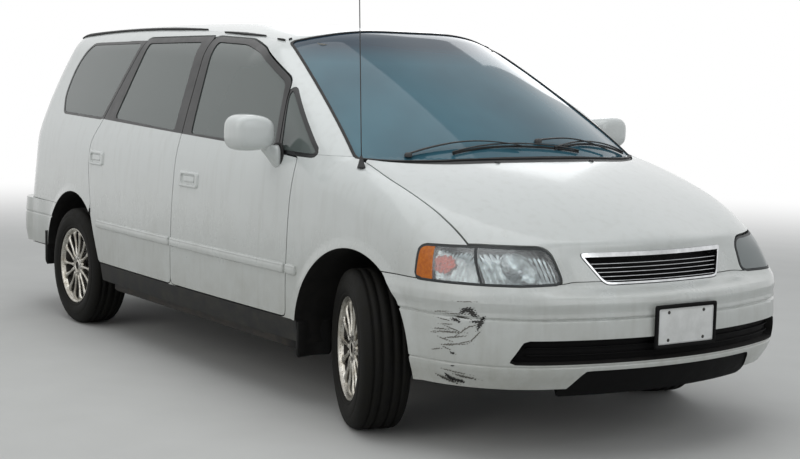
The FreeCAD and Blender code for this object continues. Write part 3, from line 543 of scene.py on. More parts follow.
def screen_glass():
    """Laminated float glass: its blue-green base colour is partly the tinted glass and mostly a painted reflection of
    the sky, with a darker shade band along the top.
    """
    material, tree, shader = finish("laminated_screen_glass", "#3F6470", 0.05, IOR=1.5, Transmission_Weight=0.25,
                                    Specular_IOR_Level=0.2)
    place = add_node(tree, "ShaderNodeTexCoord").outputs["Object"]
    height = add_node(tree, "ShaderNodeSeparateXYZ", {}, {0: place})
    band = add_node(tree, "ShaderNodeMapRange", {"From Min": 1.44, "From Max": 1.52, "To Min": 0.0, "To Max": 1.0},
                    {"Value": height.outputs["Z"]})
    # Lighter and darker blue patches over the pane: painted reflection of the sky.
    drift = add_node(tree, "ShaderNodeTexNoise", {"Scale": 1.6, "Detail": 3.0}, {"Vector": place})
    sky = add_node(tree, "ShaderNodeMapRange", {"From Min": 0.35, "From Max": 0.65, "To Min": 0.0, "To Max": 1.0},
                   {"Value": drift.outputs["Fac"]})
    sky_reflection_tone = add_node(tree, "ShaderNodeMix", {"data_type": "RGBA", 6: tone("#3D6676"), 7: tone("#4C7D8D")},
                    {0: sky.outputs[0]})
    mix = add_node(tree, "ShaderNodeMix", {"data_type": "RGBA", 7: tone("#33495A")},
                   {0: band.outputs[0], 6: sky_reflection_tone.outputs[2]})
    tree.links.new(mix.outputs[2], shader.inputs["Base Color"])
    return material


ENAMEL = body_paint()
# Injection-moulded polypropylene: dull black, its grain spreading every highlight.
TRIM_BLACK = mottled("moulded_black_polypropylene", "#1D1E1F", "#3A3B3A", 0.55, 60, 0.6, 0.15, 1.5)
# Sprayed black enamel over steel: an even soft sheen, glossier than the trim.
FRAME_BLACK = mottled("satin_black_enamel", "#101112", "#1E1F20", 0.34, 90, 0.5)
# Sprayed stone-chip coating: pebbled, matt and greyed by grit.
SILL_GREY = mottled("stone_chip_coating", "#1B1C1D", "#3B3A35", 0.7, 70, 0.8, 0.4, 4, Specular_IOR_Level=0.3)
# Extruded rubber: near black with a faint bloom and hardly a highlight.
RUBBER = mottled("extruded_rubber", "#101010", "#232322", 0.62, 30, 0.5, 0.1, 2, Specular_IOR_Level=0.35)
# Tempered glass tinted in the melt: a dim grey view in, under an even gloss.
SIDE_GLASS = glass("tinted_tempered_glass", "#76807D", 0.45, 0.02, 0.03)
SCREEN_GLASS = screen_glass()
# Chrome plated on moulded ABS: a bright mirror, dulled in patches by dirt.
CHROME = mottled("chromed_abs", "#D8DADC", "#9EA0A2", 0.12, 40, 0.5, metallic=1.0, spread=0.06)
# Stone guard sprayed on pressed steel: coarse, matt and brown with road dirt.
STEEL_DIRTY = mottled("underbody_stone_guard", "#1E1E1E", "#4A443C", 0.78, 80, 0.8, 0.6, 6)
# Sand-cast iron: a rough dark skin freckled with rust.
CAST = mottled("cast_iron_with_rust", "#4A4744", "#6B4A34", 0.72, 30, 0.8, 0.5, 3, metallic=0.6)
# Welded mild-steel tube: dull metal mottled with rust from its heat.
EXHAUST = mottled("rusted_mild_steel", "#5A4A40", "#7A5338", 0.65, 40, 0.8, 0.3, 3, metallic=0.7)
# Napped cloth glued on board: pale, soft and without a highlight.
HEADLINER = mottled("napped_headliner_cloth", "#7C7B76", "#8A8984", 0.95, 20, 0.5, 0.3, 2)
# Vacuum-formed vinyl: a leather grain that holds a low sheen.
CABIN_PLASTIC = mottled("grained_vinyl_plastic", "#3C3E42", "#47494D", 0.6, 25, 0.5, 0.25, 1.8)
# Tufted nylon: a deep pile that takes in the light.
CARPET = mottled("tufted_carpet", "#303236", "#43454A", 0.98, 8, 0.8, 1.2, 3)
# Woven polyester: a tight weave, matt and in two close tones.
SEAT_CLOTH = mottled("woven_seat_cloth", "#4B4F56", "#5D6168", 0.93, 5, 0.8, 0.5, 2.2)
# Moulded ribbed polypropylene: matt black, dusted by the road.
LINER = mottled("ribbed_liner_polypropylene", "#101010", "#242220", 0.8, 60, 0.7, 0.5, 5, Specular_IOR_Level=0.25)
# Moulded black plastic, its colour darkened below the plastic's own as painted shade in the openings, with so little
# sheen that they read as holes.
BLACK_DARKENED_AS_SHADE = mottled("moulded_black_with_painted_shade", "#060607", "#0E0E0E", 0.7, 80, 0.6, 0.3, 4, Specular_IOR_Level=0.12)
# Pressed and painted aluminium sheet: flat white, a little uneven.
PLATE = mottled("pressed_plate_aluminium", "#E4E5E3", "#C4C5C2", 0.4, 50, 0.5)


# Building pieces.
def set_back(p):
    """Points moved back at the nose, where grille and lamps stand behind the bumper's shelf."""
    y, z = np.abs(p[:, 1]), p[:, 2]
    low = np.clip((z - 606) / 40, 0, 1)
    high = np.clip((788 - z) / 140, 0, 1)
    shelf = 66 * low * low * (3 - 2 * low) * high * (2 - high) * np.clip((640 - y) / 240, 0, 1)
    bow = 20 * np.clip(1 - (y / 640) ** 2, 0, 1) * np.clip((800 - z) / 60, 0, 1)
    ahead = np.clip((p[:, 0] - 1960) / 90, 0, 1)
    return p - np.stack([(shelf + bow) * ahead, 0 * y, 0 * y], 1)


def add_piece(name, points, faces, material, body, nodes=(), slot=None, normals=None, smooth=True, materials=None,
              slots=None):
    """A mesh in millimetres that rides on a body; faces may be an array of triangles or a list."""
    mesh = bpy.data.meshes.new(name)
    points = set_back(np.asarray(points, float)) * MM
    mesh.from_pydata([tuple(p) for p in points], [], [tuple(int(i) for i in f) for f in faces])
    for item in (materials or [material]):
        mesh.materials.append(item)
    if slots is not None:
        mesh.polygons.foreach_set("material_index", np.asarray(slots, dtype=np.int32))
    if smooth:
        mesh.polygons.foreach_set("use_smooth", np.ones(len(mesh.polygons), bool))
    mesh.update()
    if normals is not None:
        mesh.normals_split_custom_set_from_vertices([tuple(n) for n in normals])
    obj = bpy.data.objects.new(name, mesh)
    bpy.context.collection.objects.link(obj)
    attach(obj, body)
    if nodes:
        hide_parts(*nodes)
    return obj


def near_opening(p):
    """True at the edges of wheel arches and bumper openings, whose inner walls are drawn in the black liner: partly
    the liner behind them, partly painted shade.
    """
    mouth = np.minimum(intake_gap(p), lower_intake_gap(p)) + np.where(p[:, 0] > 2000, 0, 1000)
    return np.minimum(arch_gap(p), mouth) < 12


def panel(name, sheet, material, body, depth, nodes=(), slot="paint", lift=0.0, relief=None, inner=None, back=True):
    """A panel cut from the skin: outer face, walls down its edges, and an inner face in its own material."""
    p, t = sheet.p, sheet.t
    n = skin_normal(p)
    top = p + n * lift
    if relief is not None:
        top = top + n * relief(p)[:, None]
    if relief is not None or p[:, 0].max() > 1960:
        bent = set_back(top)
        face = np.cross(bent[t[:, 1]] - bent[t[:, 0]], bent[t[:, 2]] - bent[t[:, 0]])
        shade = np.zeros_like(top)
        for k in range(3):
            np.add.at(shade, t[:, k], face)
        size = np.linalg.norm(shade, axis=1)
        shade = shade / np.maximum(size, 1e-9)[:, None]
    else:
        shade = n
    count = len(p)
    low = p - n * depth
    edges = sheet.rim()
    ring = np.unique(edges)
    place = np.full(count, -1)
    place[ring] = np.arange(len(ring))
    a, b = place[edges[:, 0]], place[edges[:, 1]]
    m = len(ring)
    wall_top, wall_low = 2 * count, 2 * count + m
    points = np.concatenate([top, low, top[ring], low[ring]])
    walls = np.concatenate([
        np.stack([wall_top + b, wall_top + a, wall_low + a], 1),
        np.stack([wall_top + b, wall_low + a, wall_low + b], 1)])
    faces = [t]
    kinds = [np.zeros(len(t), int)]
    if back:
        faces.append(t[:, ::-1] + count)
        kinds.append(np.ones(len(t), int))
    faces.append(walls)
    # Walls there take the black liner, partly as painted shade inside arches and openings.
    dark = near_opening((p[edges[:, 0]] + p[edges[:, 1]]) / 2)
    kinds.append(np.tile(np.where(dark, 2, 0), 2))
    normals = np.concatenate([shade, -n, np.zeros((2 * m, 3))])
    return add_piece(name, points, np.concatenate(faces), None, body, nodes, slot, normals,
                     materials=[material, inner or material, LINER], slots=np.concatenate(kinds))


def side_of(sheet, side):
    """The sheet for one side, turned over for the left."""
    if side == RIGHT:
        return sheet
    return Sheet(sheet.p * np.array([1, -1, 1]), sheet.t[:, ::-1])


SIDES = ((RIGHT, "right"), (LEFT, "left"))


# Doors, with their glass and black window frames.
def vent_border(p):
    """Below 0 on the vent window and the black border round it."""
    return vent_gap(p) - 17


DOORS = {
    "front": (front_door_gap, front_window_gap, 950, -240),
    "rear": (rear_door_gap, rear_window_gap, -100, -1240),
}
for place, (door_gap, window_gap, ahead, behind) in DOORS.items():
    region = RIGHT_SKIN.near((behind - 40, -1200, 300), (ahead + 60, -300, 1650))
    whole = region.keep(lambda p: door_gap(p) + HALF)
    black_part = either(belt_gap, vent_border)
    skin_part = whole.keep(outside(black_part))
    frame_part = whole.keep(black_part).keep(outside(window_gap)).keep(outside(vent_gap, 2))
    pane = region.keep(lambda p: window_gap(p) + 1)
    for side, word in SIDES:
        body = "%s_door_%s" % (place, word)
        panel(body + "_skin", side_of(skin_part, side), ENAMEL, body, 44, [body], inner=CABIN_PLASTIC)
        panel(body + "_window_frame", side_of(frame_part, side), FRAME_BLACK, body, 30, slot="black_plastic", lift=-1)
        glass_name = "%s_door_glass_%s" % (place, word)
        panel(glass_name + "_pane", side_of(pane, side), SIDE_GLASS, body, 10, [glass_name], "glass_tint", lift=-5)

# Body side, fender and fixed glass.
side_region = RIGHT_SKIN.keep(beyond(1, 0, -1))
no_doors = both_of(outside(front_door_gap, HALF), outside(rear_door_gap, HALF))


def roof_zone(p):
    return np.maximum(roof_gap(p), 1400 - p[:, 2])


side = side_region
for cut in (
    no_doors, outside(arch_gap), outside(vent_gap), outside(quarter_gap), outside(roof_zone, 1),
    outside(both_of(screen_gap, beyond(2, 1000))), outside(both_of(hood_gap, beyond(2, 500)), HALF),
    outside(both_of(gate_gap, beyond(0, GATE_EDGE, -1)), HALF),
    outside(both_of(tail_lamp_gap, beyond(0, TAIL_LAMP_EDGE, -1)), 1),
    lambda p: np.minimum(np.maximum(-BUMPER_END - p[:, 0], SILL_BOTTOM - p[:, 2]),
                         np.maximum(p[:, 0] + BUMPER_END, REAR_BUMPER_TOP + 2 - p[:, 2])),
):
    side = side.keep(cut)
ahead_of_door = both_of(beyond(0, 942), beyond(2, 1060, -1))
body_side = side.keep(outside(ahead_of_door, 1)).keep(
    lambda p: np.minimum.reduce([SILL_TOP - p[:, 2], 1100 - p[:, 0], p[:, 0] + 1400]))
pillar_black = both_of(belt_gap, lambda p: -1180 - p[:, 0], lambda p: p[:, 0] + 940 + (1562 - p[:, 2]) * 0.4)
black_all = either(lambda p: quarter_gap(p) - 13, vent_border, both_of(pillar_black, lambda p: p[:, 2] - 1546))
body_white = body_side.keep(outside(black_all))
body_black = body_side.keep(black_all)
fender_black = side.keep(ahead_of_door).keep(vent_border).keep(lambda p: 1000 - p[:, 2])
fender = side
for cut in (ahead_of_door, outside(vent_border), outside(lamp_zone, 1),
            outside(both_of(bumper_gap, beyond(0, BUMPER_END)), 4),
            lambda p: SILL_TOP - p[:, 2]):
    fender = fender.keep(cut)
cowl_zone = both_of(beyond(0, 1180), beyond(0, 1640, -1), beyond(2, 950), lambda p: np.abs(p[:, 1]) - 736)
fender = fender.keep(outside(cowl_zone))
body_white = body_white.keep(outside(cowl_zone, 1))
quarter_pane = RIGHT_SKIN.near((-1950, -1000, 1000), (-900, -400, 1650)).keep(lambda p: quarter_gap(p) + 1)
vent_pane = RIGHT_SKIN.near((650, -1100, 1000), (1200, -300, 1450)).keep(lambda p: vent_gap(p) + 1)
sill = side_region.keep(both_of(beyond(2, SILL_BOTTOM), beyond(2, SILL_TOP - 1, -1), beyond(0, -1400),
                                beyond(0, 1400, -1))).keep(outside(arch_gap))


def lipped(sheet):
    """The sheet with extra edges round the wheel arches, for their rolled lips."""
    for ring in (7, 16, 28, 44):
        sheet = sheet.keep(lambda p: ring - arch_gap(p), both=True)
    return sheet


def arch_lip(p):
    """The rolled flare round each wheel arch."""
    k = np.clip(1 - arch_gap(p) / 44, 0, 1)
    return 7 * k * k * (3 - 2 * k)


for hand, word in SIDES:
    panel("body_side_%s_shell" % word, side_of(lipped(body_white), hand), ENAMEL, "root", 44, ["body_side_" + word],
          relief=arch_lip,
          inner=CABIN_PLASTIC)
    panel("pillar_%s_blackout" % word, side_of(body_black, hand), FRAME_BLACK, "root", 30, slot="black_plastic",
          lift=-1)
    panel("vent_%s_lower_border" % word, side_of(fender_black, hand), FRAME_BLACK, "root", 12, slot="black_plastic",
          lift=-1)
    panel("fender_%s_wing" % word, side_of(lipped(fender), hand), ENAMEL, "root", 30, ["fender_" + word],
          relief=arch_lip, inner=STEEL_DIRTY)
    panel("quarter_glass_" + word, side_of(quarter_pane, hand), SIDE_GLASS, "root", 6, ["fixed_side_glass"],
          "glass_tint", lift=-3)
    panel("vent_glass_" + word, side_of(vent_pane, hand), SIDE_GLASS, "root", 6, ["fixed_side_glass"], "glass_tint",
          lift=-4)
    panel("sill_cover_" + word, side_of(sill, hand), SILL_GREY, "root", 30, ["sill_covers"], "black_plastic", lift=-2)

# Roof, sunroof, windscreen, hood, cowl.
top = SKIN.near((-2200, -1000, 1300), (700, 1000, 1800))
roof = top.keep(roof_zone).keep(outside(sunroof_gap, 2.5)).keep(outside(both_of(gate_gap, beyond(0, GATE_EDGE, -1)),
    HALF))
panel("roof_skin", roof, ENAMEL, "root", 40, ["roof_panel"], inner=HEADLINER)
panel("sunroof_lid", top.keep(lambda p: sunroof_gap(p) + 2.5), ENAMEL, "root", 40, ["sunroof_panel"], inner=HEADLINER)
panel("sunroof_seal", top.keep(lambda p: sunroof_gap(p) - 2.5).keep(outside(sunroof_gap, -2.5)), RUBBER, "root", 12,
      slot="rubber", lift=-1.5, back=False)
screen = SKIN.near((300, -1000, 950), (1700, 1000, 1700)).keep(screen_gap)
panel("windscreen_pane", screen, SCREEN_GLASS, "root", 6, ["windscreen"], "screen_glass", lift=-3)
front = SKIN.near((900, -1200, 150), (2600, 1200, 1200))
hood = front.keep(lambda p: hood_gap(p) + HALF).keep(beyond(2,
    500)).keep(outside(both_of(bumper_gap, beyond(0, 1900)), HALF))
for cut in (outside(lamp_zone, SHUT), outside(left_lamp_zone, SHUT),
            outside(both_of(grille_gap, beyond(0, NOSE)), 1)):
    hood = hood.keep(cut)
panel("hood_skin", hood, ENAMEL, "hood", 30, ["hood"], inner=ENAMEL)
cowl = front.keep(cowl_zone).keep(outside(hood_gap, HALF)).keep(outside(screen_gap, 1))
panel("cowl_tray", cowl, TRIM_BLACK, "root", 40, ["cowl"], "black_plastic", lift=-4)


# Bumpers.
def step(z, low, high):
    k = np.clip((z - low) / (high - low), 0, 1)
    return k * k * (3 - 2 * k)


def groove(z, middle, half):
    return np.clip(1 - np.abs(z - middle) / half, 0, 1)


def bumper_relief(p):
    z = p[:, 2]
    shelf = 9 * step(z, 556, 590) * step(-z, -652, -612)
    return shelf - 8 * groove(z, 536, 6) - 5 * groove(z, 366, 5) - 5 * step(-z, -350, -300) + arch_lip(p)


def rear_bumper_relief(p):
    """The rear bumper stands out from the body at its corners, as far as the van's length allows."""
    z, n = p[:, 2], skin_normal(p)
    corner = 2 * np.abs(n[:, 0] * n[:, 1]) + 0.3 * np.abs(n[:, 1]) * step(-p[:, 0], 1830, 1960)
    out = 40 * np.minimum(corner, 1) * (1 - 0.25 * step(-z, -470, -390)) - 3 - 6 * groove(z, 556, 6) + arch_lip(p)
    room = (p[:, 0] + 2379.5) / np.maximum(-n[:, 0], 0.001)
    return np.where(n[:, 0] < 0, np.minimum(out, room), out)


bumper = front.keep(bumper_gap).keep(beyond(0, BUMPER_END)).keep(beyond(2, 276)).keep(outside(arch_gap))
for cut in (outside(lamp_zone, 1), outside(left_lamp_zone, 1),
            outside(both_of(grille_gap, beyond(0, NOSE)), 2),
            outside(both_of(intake_gap, beyond(0, NOSE))), outside(both_of(lower_intake_gap, beyond(0, NOSE)))):
    bumper = bumper.keep(cut)
for level in (530, 533, 536, 539, 542, 556, 570, 590, 612, 632, 361, 363.5, 366, 368.5, 371, 350, 325, 300):
    bumper = bumper.keep(beyond(2, level), both=True)
panel("front_bumper_cover", lipped(bumper), ENAMEL, "root", 40, ["front_bumper"], relief=bumper_relief,
      inner=STEEL_DIRTY)
tail = SKIN.near((-2700, -1200, 150), (-1500, 1200, 700))
rear_bumper = tail.keep(both_of(beyond(0, -BUMPER_END, -1), beyond(2, 388),
                                beyond(2, REAR_BUMPER_TOP, -1))).keep(outside(arch_gap))
for level in (400, 415, 430, 450, 550, 553, 556, 559, 562, 632, 636):
    rear_bumper = rear_bumper.keep(beyond(2, level), both=True)
panel("rear_bumper_cover", lipped(rear_bumper), ENAMEL, "root", 40, ["rear_bumper"], relief=rear_bumper_relief,
      inner=STEEL_DIRTY)
back = SKIN.near((-2700, -1000, 600), (-2000, 1000, 1750))
gate = back.keep(lambda p: gate_gap(p) + HALF).keep(beyond(0, -2053, -1)).keep(outside(rear_glass_gap,
    1)).keep(beyond(2, 646))
panel("tailgate_skin", gate, ENAMEL, "tailgate", 40, ["tailgate"], inner=CABIN_PLASTIC)
panel("rear_window_pane", back.keep(rear_glass_gap), SIDE_GLASS, "tailgate", 6, ["rear_window"], "glass_tint",
      lift=-3)


# Shapes made from rings of points.
def ring_faces(rows, count, closed=True, start=0, caps=(False, False)):
    """Faces between rows of rings, each of count points, with flat caps where asked."""
    faces = []
    for r in range(rows - 1):
        for c in range(count if closed else count - 1):
            d = (c + 1) % count
            a, b = start + r * count, start + (r + 1) * count
            faces.append((a + c, a + d, b + d, b + c))
    if caps[0]:
        faces.append(tuple(start + c for c in reversed(range(count))))
    if caps[1]:
        faces.append(tuple(start + (rows - 1) * count + c for c in range(count)))
    return faces


def backward(faces):
    """The same faces, facing the other way."""
    return [tuple(f[::-1]) for f in faces]


def skinned(rows, closed=True, caps=(True, True)):
    """A surface through rows of points."""
    return np.concatenate(rows), ring_faces(len(rows), len(rows[0]), closed, caps=caps)


def draped(x, y, z):
    """A surface through grids of coordinates."""
    return np.stack([x.ravel(), y.ravel(), z.ravel()], 1), ring_faces(*x.shape, closed=False)


def turned(profile, count=96):
    """Points and faces of a profile (radius, across) turned about the Y axis."""
    angle = np.arange(count) * 2 * np.pi / count
    rings = [np.stack([r * np.sin(angle), np.full(count, float(a)), r * np.cos(angle)], 1) for r, a in profile]
    return np.concatenate(rings), ring_faces(len(profile), count)


def gather(parts):
    """One mesh from several (points, faces)."""
    points, faces, start = [], [], 0
    for p, f in parts:
        points.append(np.asarray(p, float))
        faces += [tuple(int(i) + start for i in face) for face in f]
        start += len(p)
    return np.concatenate(points), faces


def flipped(part):
    """The same part for the other side of the body."""
    points, faces = part
    return np.asarray(points) * np.array([1, -1, 1]), backward(faces)


def on_side(part, side):
    return part if side == RIGHT else flipped(part)


def cast(origin, ray, far=2600.0):
    """Where rays from inside the body meet its skin."""
    origin, ray = np.atleast_2d(np.asarray(origin, float)), np.asarray(ray, float)
    low, high = np.zeros(len(origin)), np.full(len(origin), far)
    for _ in range(30):
        middle = (low + high) / 2
        inside = skin_gap(origin + ray * middle[:, None]) < 0
        low, high = np.where(inside, middle, low), np.where(inside, high, middle)
    return origin + ray * low[:, None]


def on_skin(origin, ray, lift):
    """Points raised by lift off the skin, where rays from an origin (x, y, z) meet it."""
    p = cast(np.stack(np.broadcast_arrays(*(np.asarray(c, float) for c in origin)), -1), ray)
    return p + skin_normal(p) * lift


def on_top(x, y, lift=0.0):
    return on_skin((x, y, 700), (0, 0, 1), lift)


def on_nose(y, z, lift=0.0):
    return on_skin((1200, y, z), (1, 0, 0), lift)


def on_tail(y, z, lift=0.0):
    return on_skin((-1200, y, z), (-1, 0, 0), lift)


def on_flank(x, z, lift=0.0):
    return on_skin((x, -100, z), (0, -1, 0), lift)


def rounding(depth, reach):
    """Height of a rounded edge, from 0 to 1, at some depth inside it."""
    return np.sqrt(np.clip(1 - (1 - np.clip(depth, 0, reach) / reach) ** 2, 0, 1))


def box_gap(u, v, half_u, half_v, r):
    """Signed distance to a box with rounded corners."""
    a, b = np.abs(u) - half_u + r, np.abs(v) - half_v + r
    return np.hypot(np.maximum(a, 0), np.maximum(b, 0)) + np.minimum(np.maximum(a, b), 0) - r


def swept(path, section, up=(0, 0, 1), scale=None):
    """A section (across, up) carried along a path, closed at both ends."""
    path = np.asarray(path, float)
    along = np.gradient(path, axis=0)
    along /= np.linalg.norm(along, axis=1)[:, None]
    lift = np.broadcast_to(np.asarray(up, float), path.shape)
    across = np.cross(along, lift)
    across /= np.linalg.norm(across, axis=1)[:, None]
    rise = np.cross(across, along)
    section = np.asarray(section, float)
    scale = np.ones(len(path)) if scale is None else np.asarray(scale, float)
    rings = [path[i] + (across[i] * section[:, :1] + rise[i] * section[:, 1:]) * scale[i] for i in range(len(path))]
    return skinned(rings)


def round_section(radius, count=10):
    angle = np.arange(count) * 2 * np.pi / count
    return np.stack([radius * np.cos(angle), radius * np.sin(angle)], 1)


def bar_section(width, height, edge=1.0):
    w, h = width / 2, height / 2
    return [(-w + edge, -h), (w - edge, -h), (w, -h + edge), (w, h - edge), (w - edge, h), (-w + edge, h),
            (-w, h - edge), (-w, -h + edge)]


def slab(outline, place, thick, edge):
    """A plate with rounded edges: outline (u, v) put in space by place(u, v, height)."""
    ring = np.asarray(outline, float)
    centre = ring.mean(0)
    rows = []
    for inset, height in ((0, 0), (0, thick - edge), (edge * 0.35, thick - edge * 0.35), (edge, thick)):
        d = ring - centre
        size = np.abs(d).max(0)
        rows.append(place(centre[0] + d[:, 0] * (1 - inset / size[0]), centre[1] + d[:, 1] * (1 - inset / size[1]),
                          height))
    return skinned(rows)


def rectangle(u0, u1, v0, v1, r):
    return rounded([(u0, v0, r), (u1, v0, r), (u1, v1, r), (u0, v1, r)])


def worked(region, place, relief, step=3.0):
    """A patch on the skin, pressed by relief(u, v), over a box of u and v."""
    u0, u1, v0, v1 = region
    u = np.linspace(u0, u1, max(int((u1 - u0) / step), 2) + 1)
    v = np.linspace(v0, v1, max(int((v1 - v0) / step), 2) + 1)
    uu, vv = np.meshgrid(u, v, indexing="ij")
    uu, vv = uu.ravel(), vv.ravel()
    base = place(uu, vv)
    points = base + skin_normal(base) * relief(uu, vv)[:, None]
    return points, ring_faces(len(u), len(v), closed=False)


# Wheels.
# Cast aluminium under lacquer: a silver sheen browned by brake dust.
ALLOY = mottled("cast_alloy_with_brake_dust", "#CCCAC3", "#8A8272", 0.32, 26, 0.8, 0.15, 2, metallic=0.8, spread=0.14)
# The casting's unpolished inside, coloured far darker than the face.
DARKENED_BARREL = mottled("alloy_barrel_darkened", "#3B3833", "#26231F", 0.7, 40, 0.7, metallic=0.4)
# Moulded tyre rubber: weathered to a soft matt grey-black.
TYRE_RUBBER = mottled("weathered_tyre_rubber", "#0A0A09", "#181712", 0.78, 45, 0.8, 0.25, 2.5, Specular_IOR_Level=0.2)
# Forged steel, oxidised: dark, with a thin metallic edge.
LUG_BLACK = mottled("oxidised_steel_fasteners", "#2B2A29", "#4A4641", 0.5, 6, 0.7, metallic=0.5)
HALF_TYRE = [
    (205.6, 84), (207, 90.2), (211, 93.6), (215, 95.2), (218, 95.6), (219.5, 94.2), (221.5, 95.8), (230, 98.9),
    (241, 101.2), (252, 102.3), (262, 101.7), (270, 100.2), (271.5, 98.9), (273.5, 99.3), (283, 97.0), (291, 94.6),
    (298, 91.3), (304, 87), (309, 81.2), (312.6, 75), (314.4, 68), (314.9, 58.5), (308.5, 57), (308.5, 51),
    (315.2, 49.5), (315.6, 26), (308.5, 24.5), (308.5, 17.5), (315.8, 16),
]
tyre_profile = HALF_TYRE + [(r, -a) for r, a in reversed(HALF_TYRE)]
tyre_part = turned(tyre_profile, 128)
barrel_profile = [
    (196, 86.5), (199, 88.6), (203.5, 88.8), (205, 86), (205, 79.8), (190.5, 79.4), (190, 30), (184, 10), (190, -60),
    (205, -79.5), (205, -88), (199, -88.6), (186, -76), (176, -60), (174, 0), (176, 50), (184, 70), (190, 80),
    (196, 86.5),
]
barrel_part = turned(barrel_profile, 96)
lip_part = turned([(205, 79.8), (205, 86), (203.5, 88.9), (199, 89), (195, 86.4), (190, 80), (184, 71), (181, 60)],
                  128)


def spoke(turn):
    rows = []
    for r, half, top in ((44, 15, 70), (58, 10.5, 77), (75, 7.6, 77), (100, 6.2, 75.5), (130, 6.6, 76),
                         (155, 8.8, 78.5),
                         (172, 13, 80), (182, 19, 79), (187, 25, 76)):
        section = [(-half, top - 17), (-half, top - 6), (-half * 0.72, top - 2), (-half * 0.3, top - 0.3),
                   (half * 0.3, top - 0.3),
                   (half * 0.72, top - 2), (half, top - 6), (half, top - 17)]
        rows += [(r * math.sin(turn) + t * math.cos(turn), a, r * math.cos(turn) - t * math.sin(turn))
                 for t, a in section]
    return np.array(rows), ring_faces(9, 8, caps=(True, True))


hub_profile = [(60, 50), (63, 60), (60, 68), (52, 73), (40, 74), (34.5, 73.4), (33, 70), (30, 69.5), (28.5, 71),
               (20.5, 73.5)]
hub_part = turned(hub_profile, 64)
cap_part = turned([(31, 55), (30, 68.5), (26, 70.5), (23.5, 68), (21, 67.2), (10, 68), (0.3, 68.4)], 48)
spoke_parts = [spoke(math.radians(k // 2 * 360 / 7 + (11.8 if k % 2 else -11.8))) for k in range(14)]
lug_parts = []
for k in range(5):
    turn = math.radians(k * 72 + 20)
    points, faces = turned([(11.5, 62), (11.5, 74.6), (10, 75), (9, 72), (8.2, 66), (8, 71), (6.5, 73), (0.3, 73.2)],
                           20)
    lug_parts.append((points + np.array([47 * math.sin(turn), 0, 47 * math.cos(turn)]), faces))
WHEELS = [
    ("front_right", FRONT_AXLE, -762.5, -20.4), ("front_left", FRONT_AXLE, 762.5, -18.2),
    ("rear_right", REAR_AXLE, -770, 0), ("rear_left", REAR_AXLE, 770, 0),
]


def at_wheel(part, x, y, angle):
    """A part made about the wheel's centre, outer side to +Y, set on its hub and turned about the kingpin."""
    points, faces = part
    side = 1 if y > 0 else -1
    points = np.asarray(points, float).copy()
    if side < 0:
        points[:, 1] *= -1
        faces = backward(faces)
    points[:, 1] += side * 35
    turn = math.radians(angle)
    c, n = math.cos(turn), math.sin(turn)
    out = np.stack([points[:, 0] * c - points[:, 1] * n + x, points[:, 0] * n + points[:, 1] * c + y - side * 35,
                    points[:, 2] + TYRE_R], 1)
    return out, faces


for name, x, y, angle in WHEELS:
    body = "wheel_" + name
    add_piece("tyre_%s_tread" % name, *at_wheel(tyre_part, x, y, angle), TYRE_RUBBER, body, ["tyre_" + name], "tyre")
    add_piece("rim_%s_barrel" % name, *at_wheel(barrel_part, x, y, angle), DARKENED_BARREL, body, ["rim_" + name],
              "alloy")
    face = gather([lip_part, hub_part] + spoke_parts)
    add_piece("rim_%s_face" % name, *at_wheel(face, x, y, angle), ALLOY, body, ["rim_" + name], "alloy")
    add_piece("rim_%s_fasteners" % name, *at_wheel(gather([cap_part] + lug_parts), x, y, angle), LUG_BLACK, body,
              slot="steel")

# Wheel arch liners, ribbed polypropylene from the body's inner face to the inner wall.
for where, x, radius, inner_y in (("front", FRONT_AXLE, FRONT_ARCH + 3, 445),
                                  ("rear", REAR_AXLE, REAR_ARCH + 3, 604)):
    turn = np.radians(np.linspace(-6, 186, 65))
    cx, cz = x + radius * np.cos(turn), ARCH_Z + radius * np.sin(turn)
    edge = cast(np.stack([cx, np.full_like(cx, -300.0), cz], 1), (0, -1, 0))
    edge_y = -edge[:, 1] - 16
    rows = []
    for share in np.linspace(0, 1, 14):
        y = inner_y + (edge_y - inner_y) * share
        dip = -5 * (0.5 + 0.5 * np.cos(share * 2 * np.pi * 5)) * (0.1 < share < 0.9)
        rows.append(np.stack([x + (radius + dip) * np.cos(turn), -y, ARCH_Z + (radius + dip) * np.sin(turn)], 1))
    for shrink in (0.97, 0.7, 0.45):
        rows.insert(0, np.stack([x + radius * shrink * np.cos(turn), np.full_like(turn, -inner_y + 1),
                                 ARCH_Z + radius * shrink * np.sin(turn)], 1))
    part = skinned(rows, closed=False, caps=(False, False))
    for hand, word in SIDES:
        add_piece("%s_arch_liner_%s" % (where, word), *on_side(part, hand), LINER, "root", slot="black_plastic")

# Headlamps: grey surround, clear fluted lens in two parts with an amber end, and the reflector behind.
def fluted_lens(name, color, clear, rough):
    """Moulded polycarbonate: clear and hard, its upright flutes breaking the lamp behind into bright threads."""
    material, tree, shader = finish(name, color, rough, IOR=1.58, Transmission_Weight=clear, Specular_IOR_Level=0.2)
    # Real flutes are 5 mm apart; they are drawn at 11 mm so that they show.
    turned_place = add_node(tree, "ShaderNodeMapping", {"Rotation": (0, 0, math.radians(55))},
                            {"Vector": add_node(tree, "ShaderNodeTexCoord").outputs["Object"]})
    flutes = add_node(tree, "ShaderNodeTexWave", {"Scale": 28.0, "Distortion": 0.0},
                      {"Vector": turned_place.outputs[0]})
    lump = add_node(tree, "ShaderNodeBump", {"Strength": 0.2, "Distance": 0.6 * MM},
                    {"Height": flutes.outputs["Fac"]})
    tree.links.new(lump.outputs[0], shader.inputs["Normal"])
    return material


LENS = {"right": fluted_lens("moulded_polycarbonate_lens", "#DDE2E3", 0.95, 0.02),
        "left": fluted_lens("sun_hazed_polycarbonate_lens", "#9AA1A1", 0.45, 0.3)}
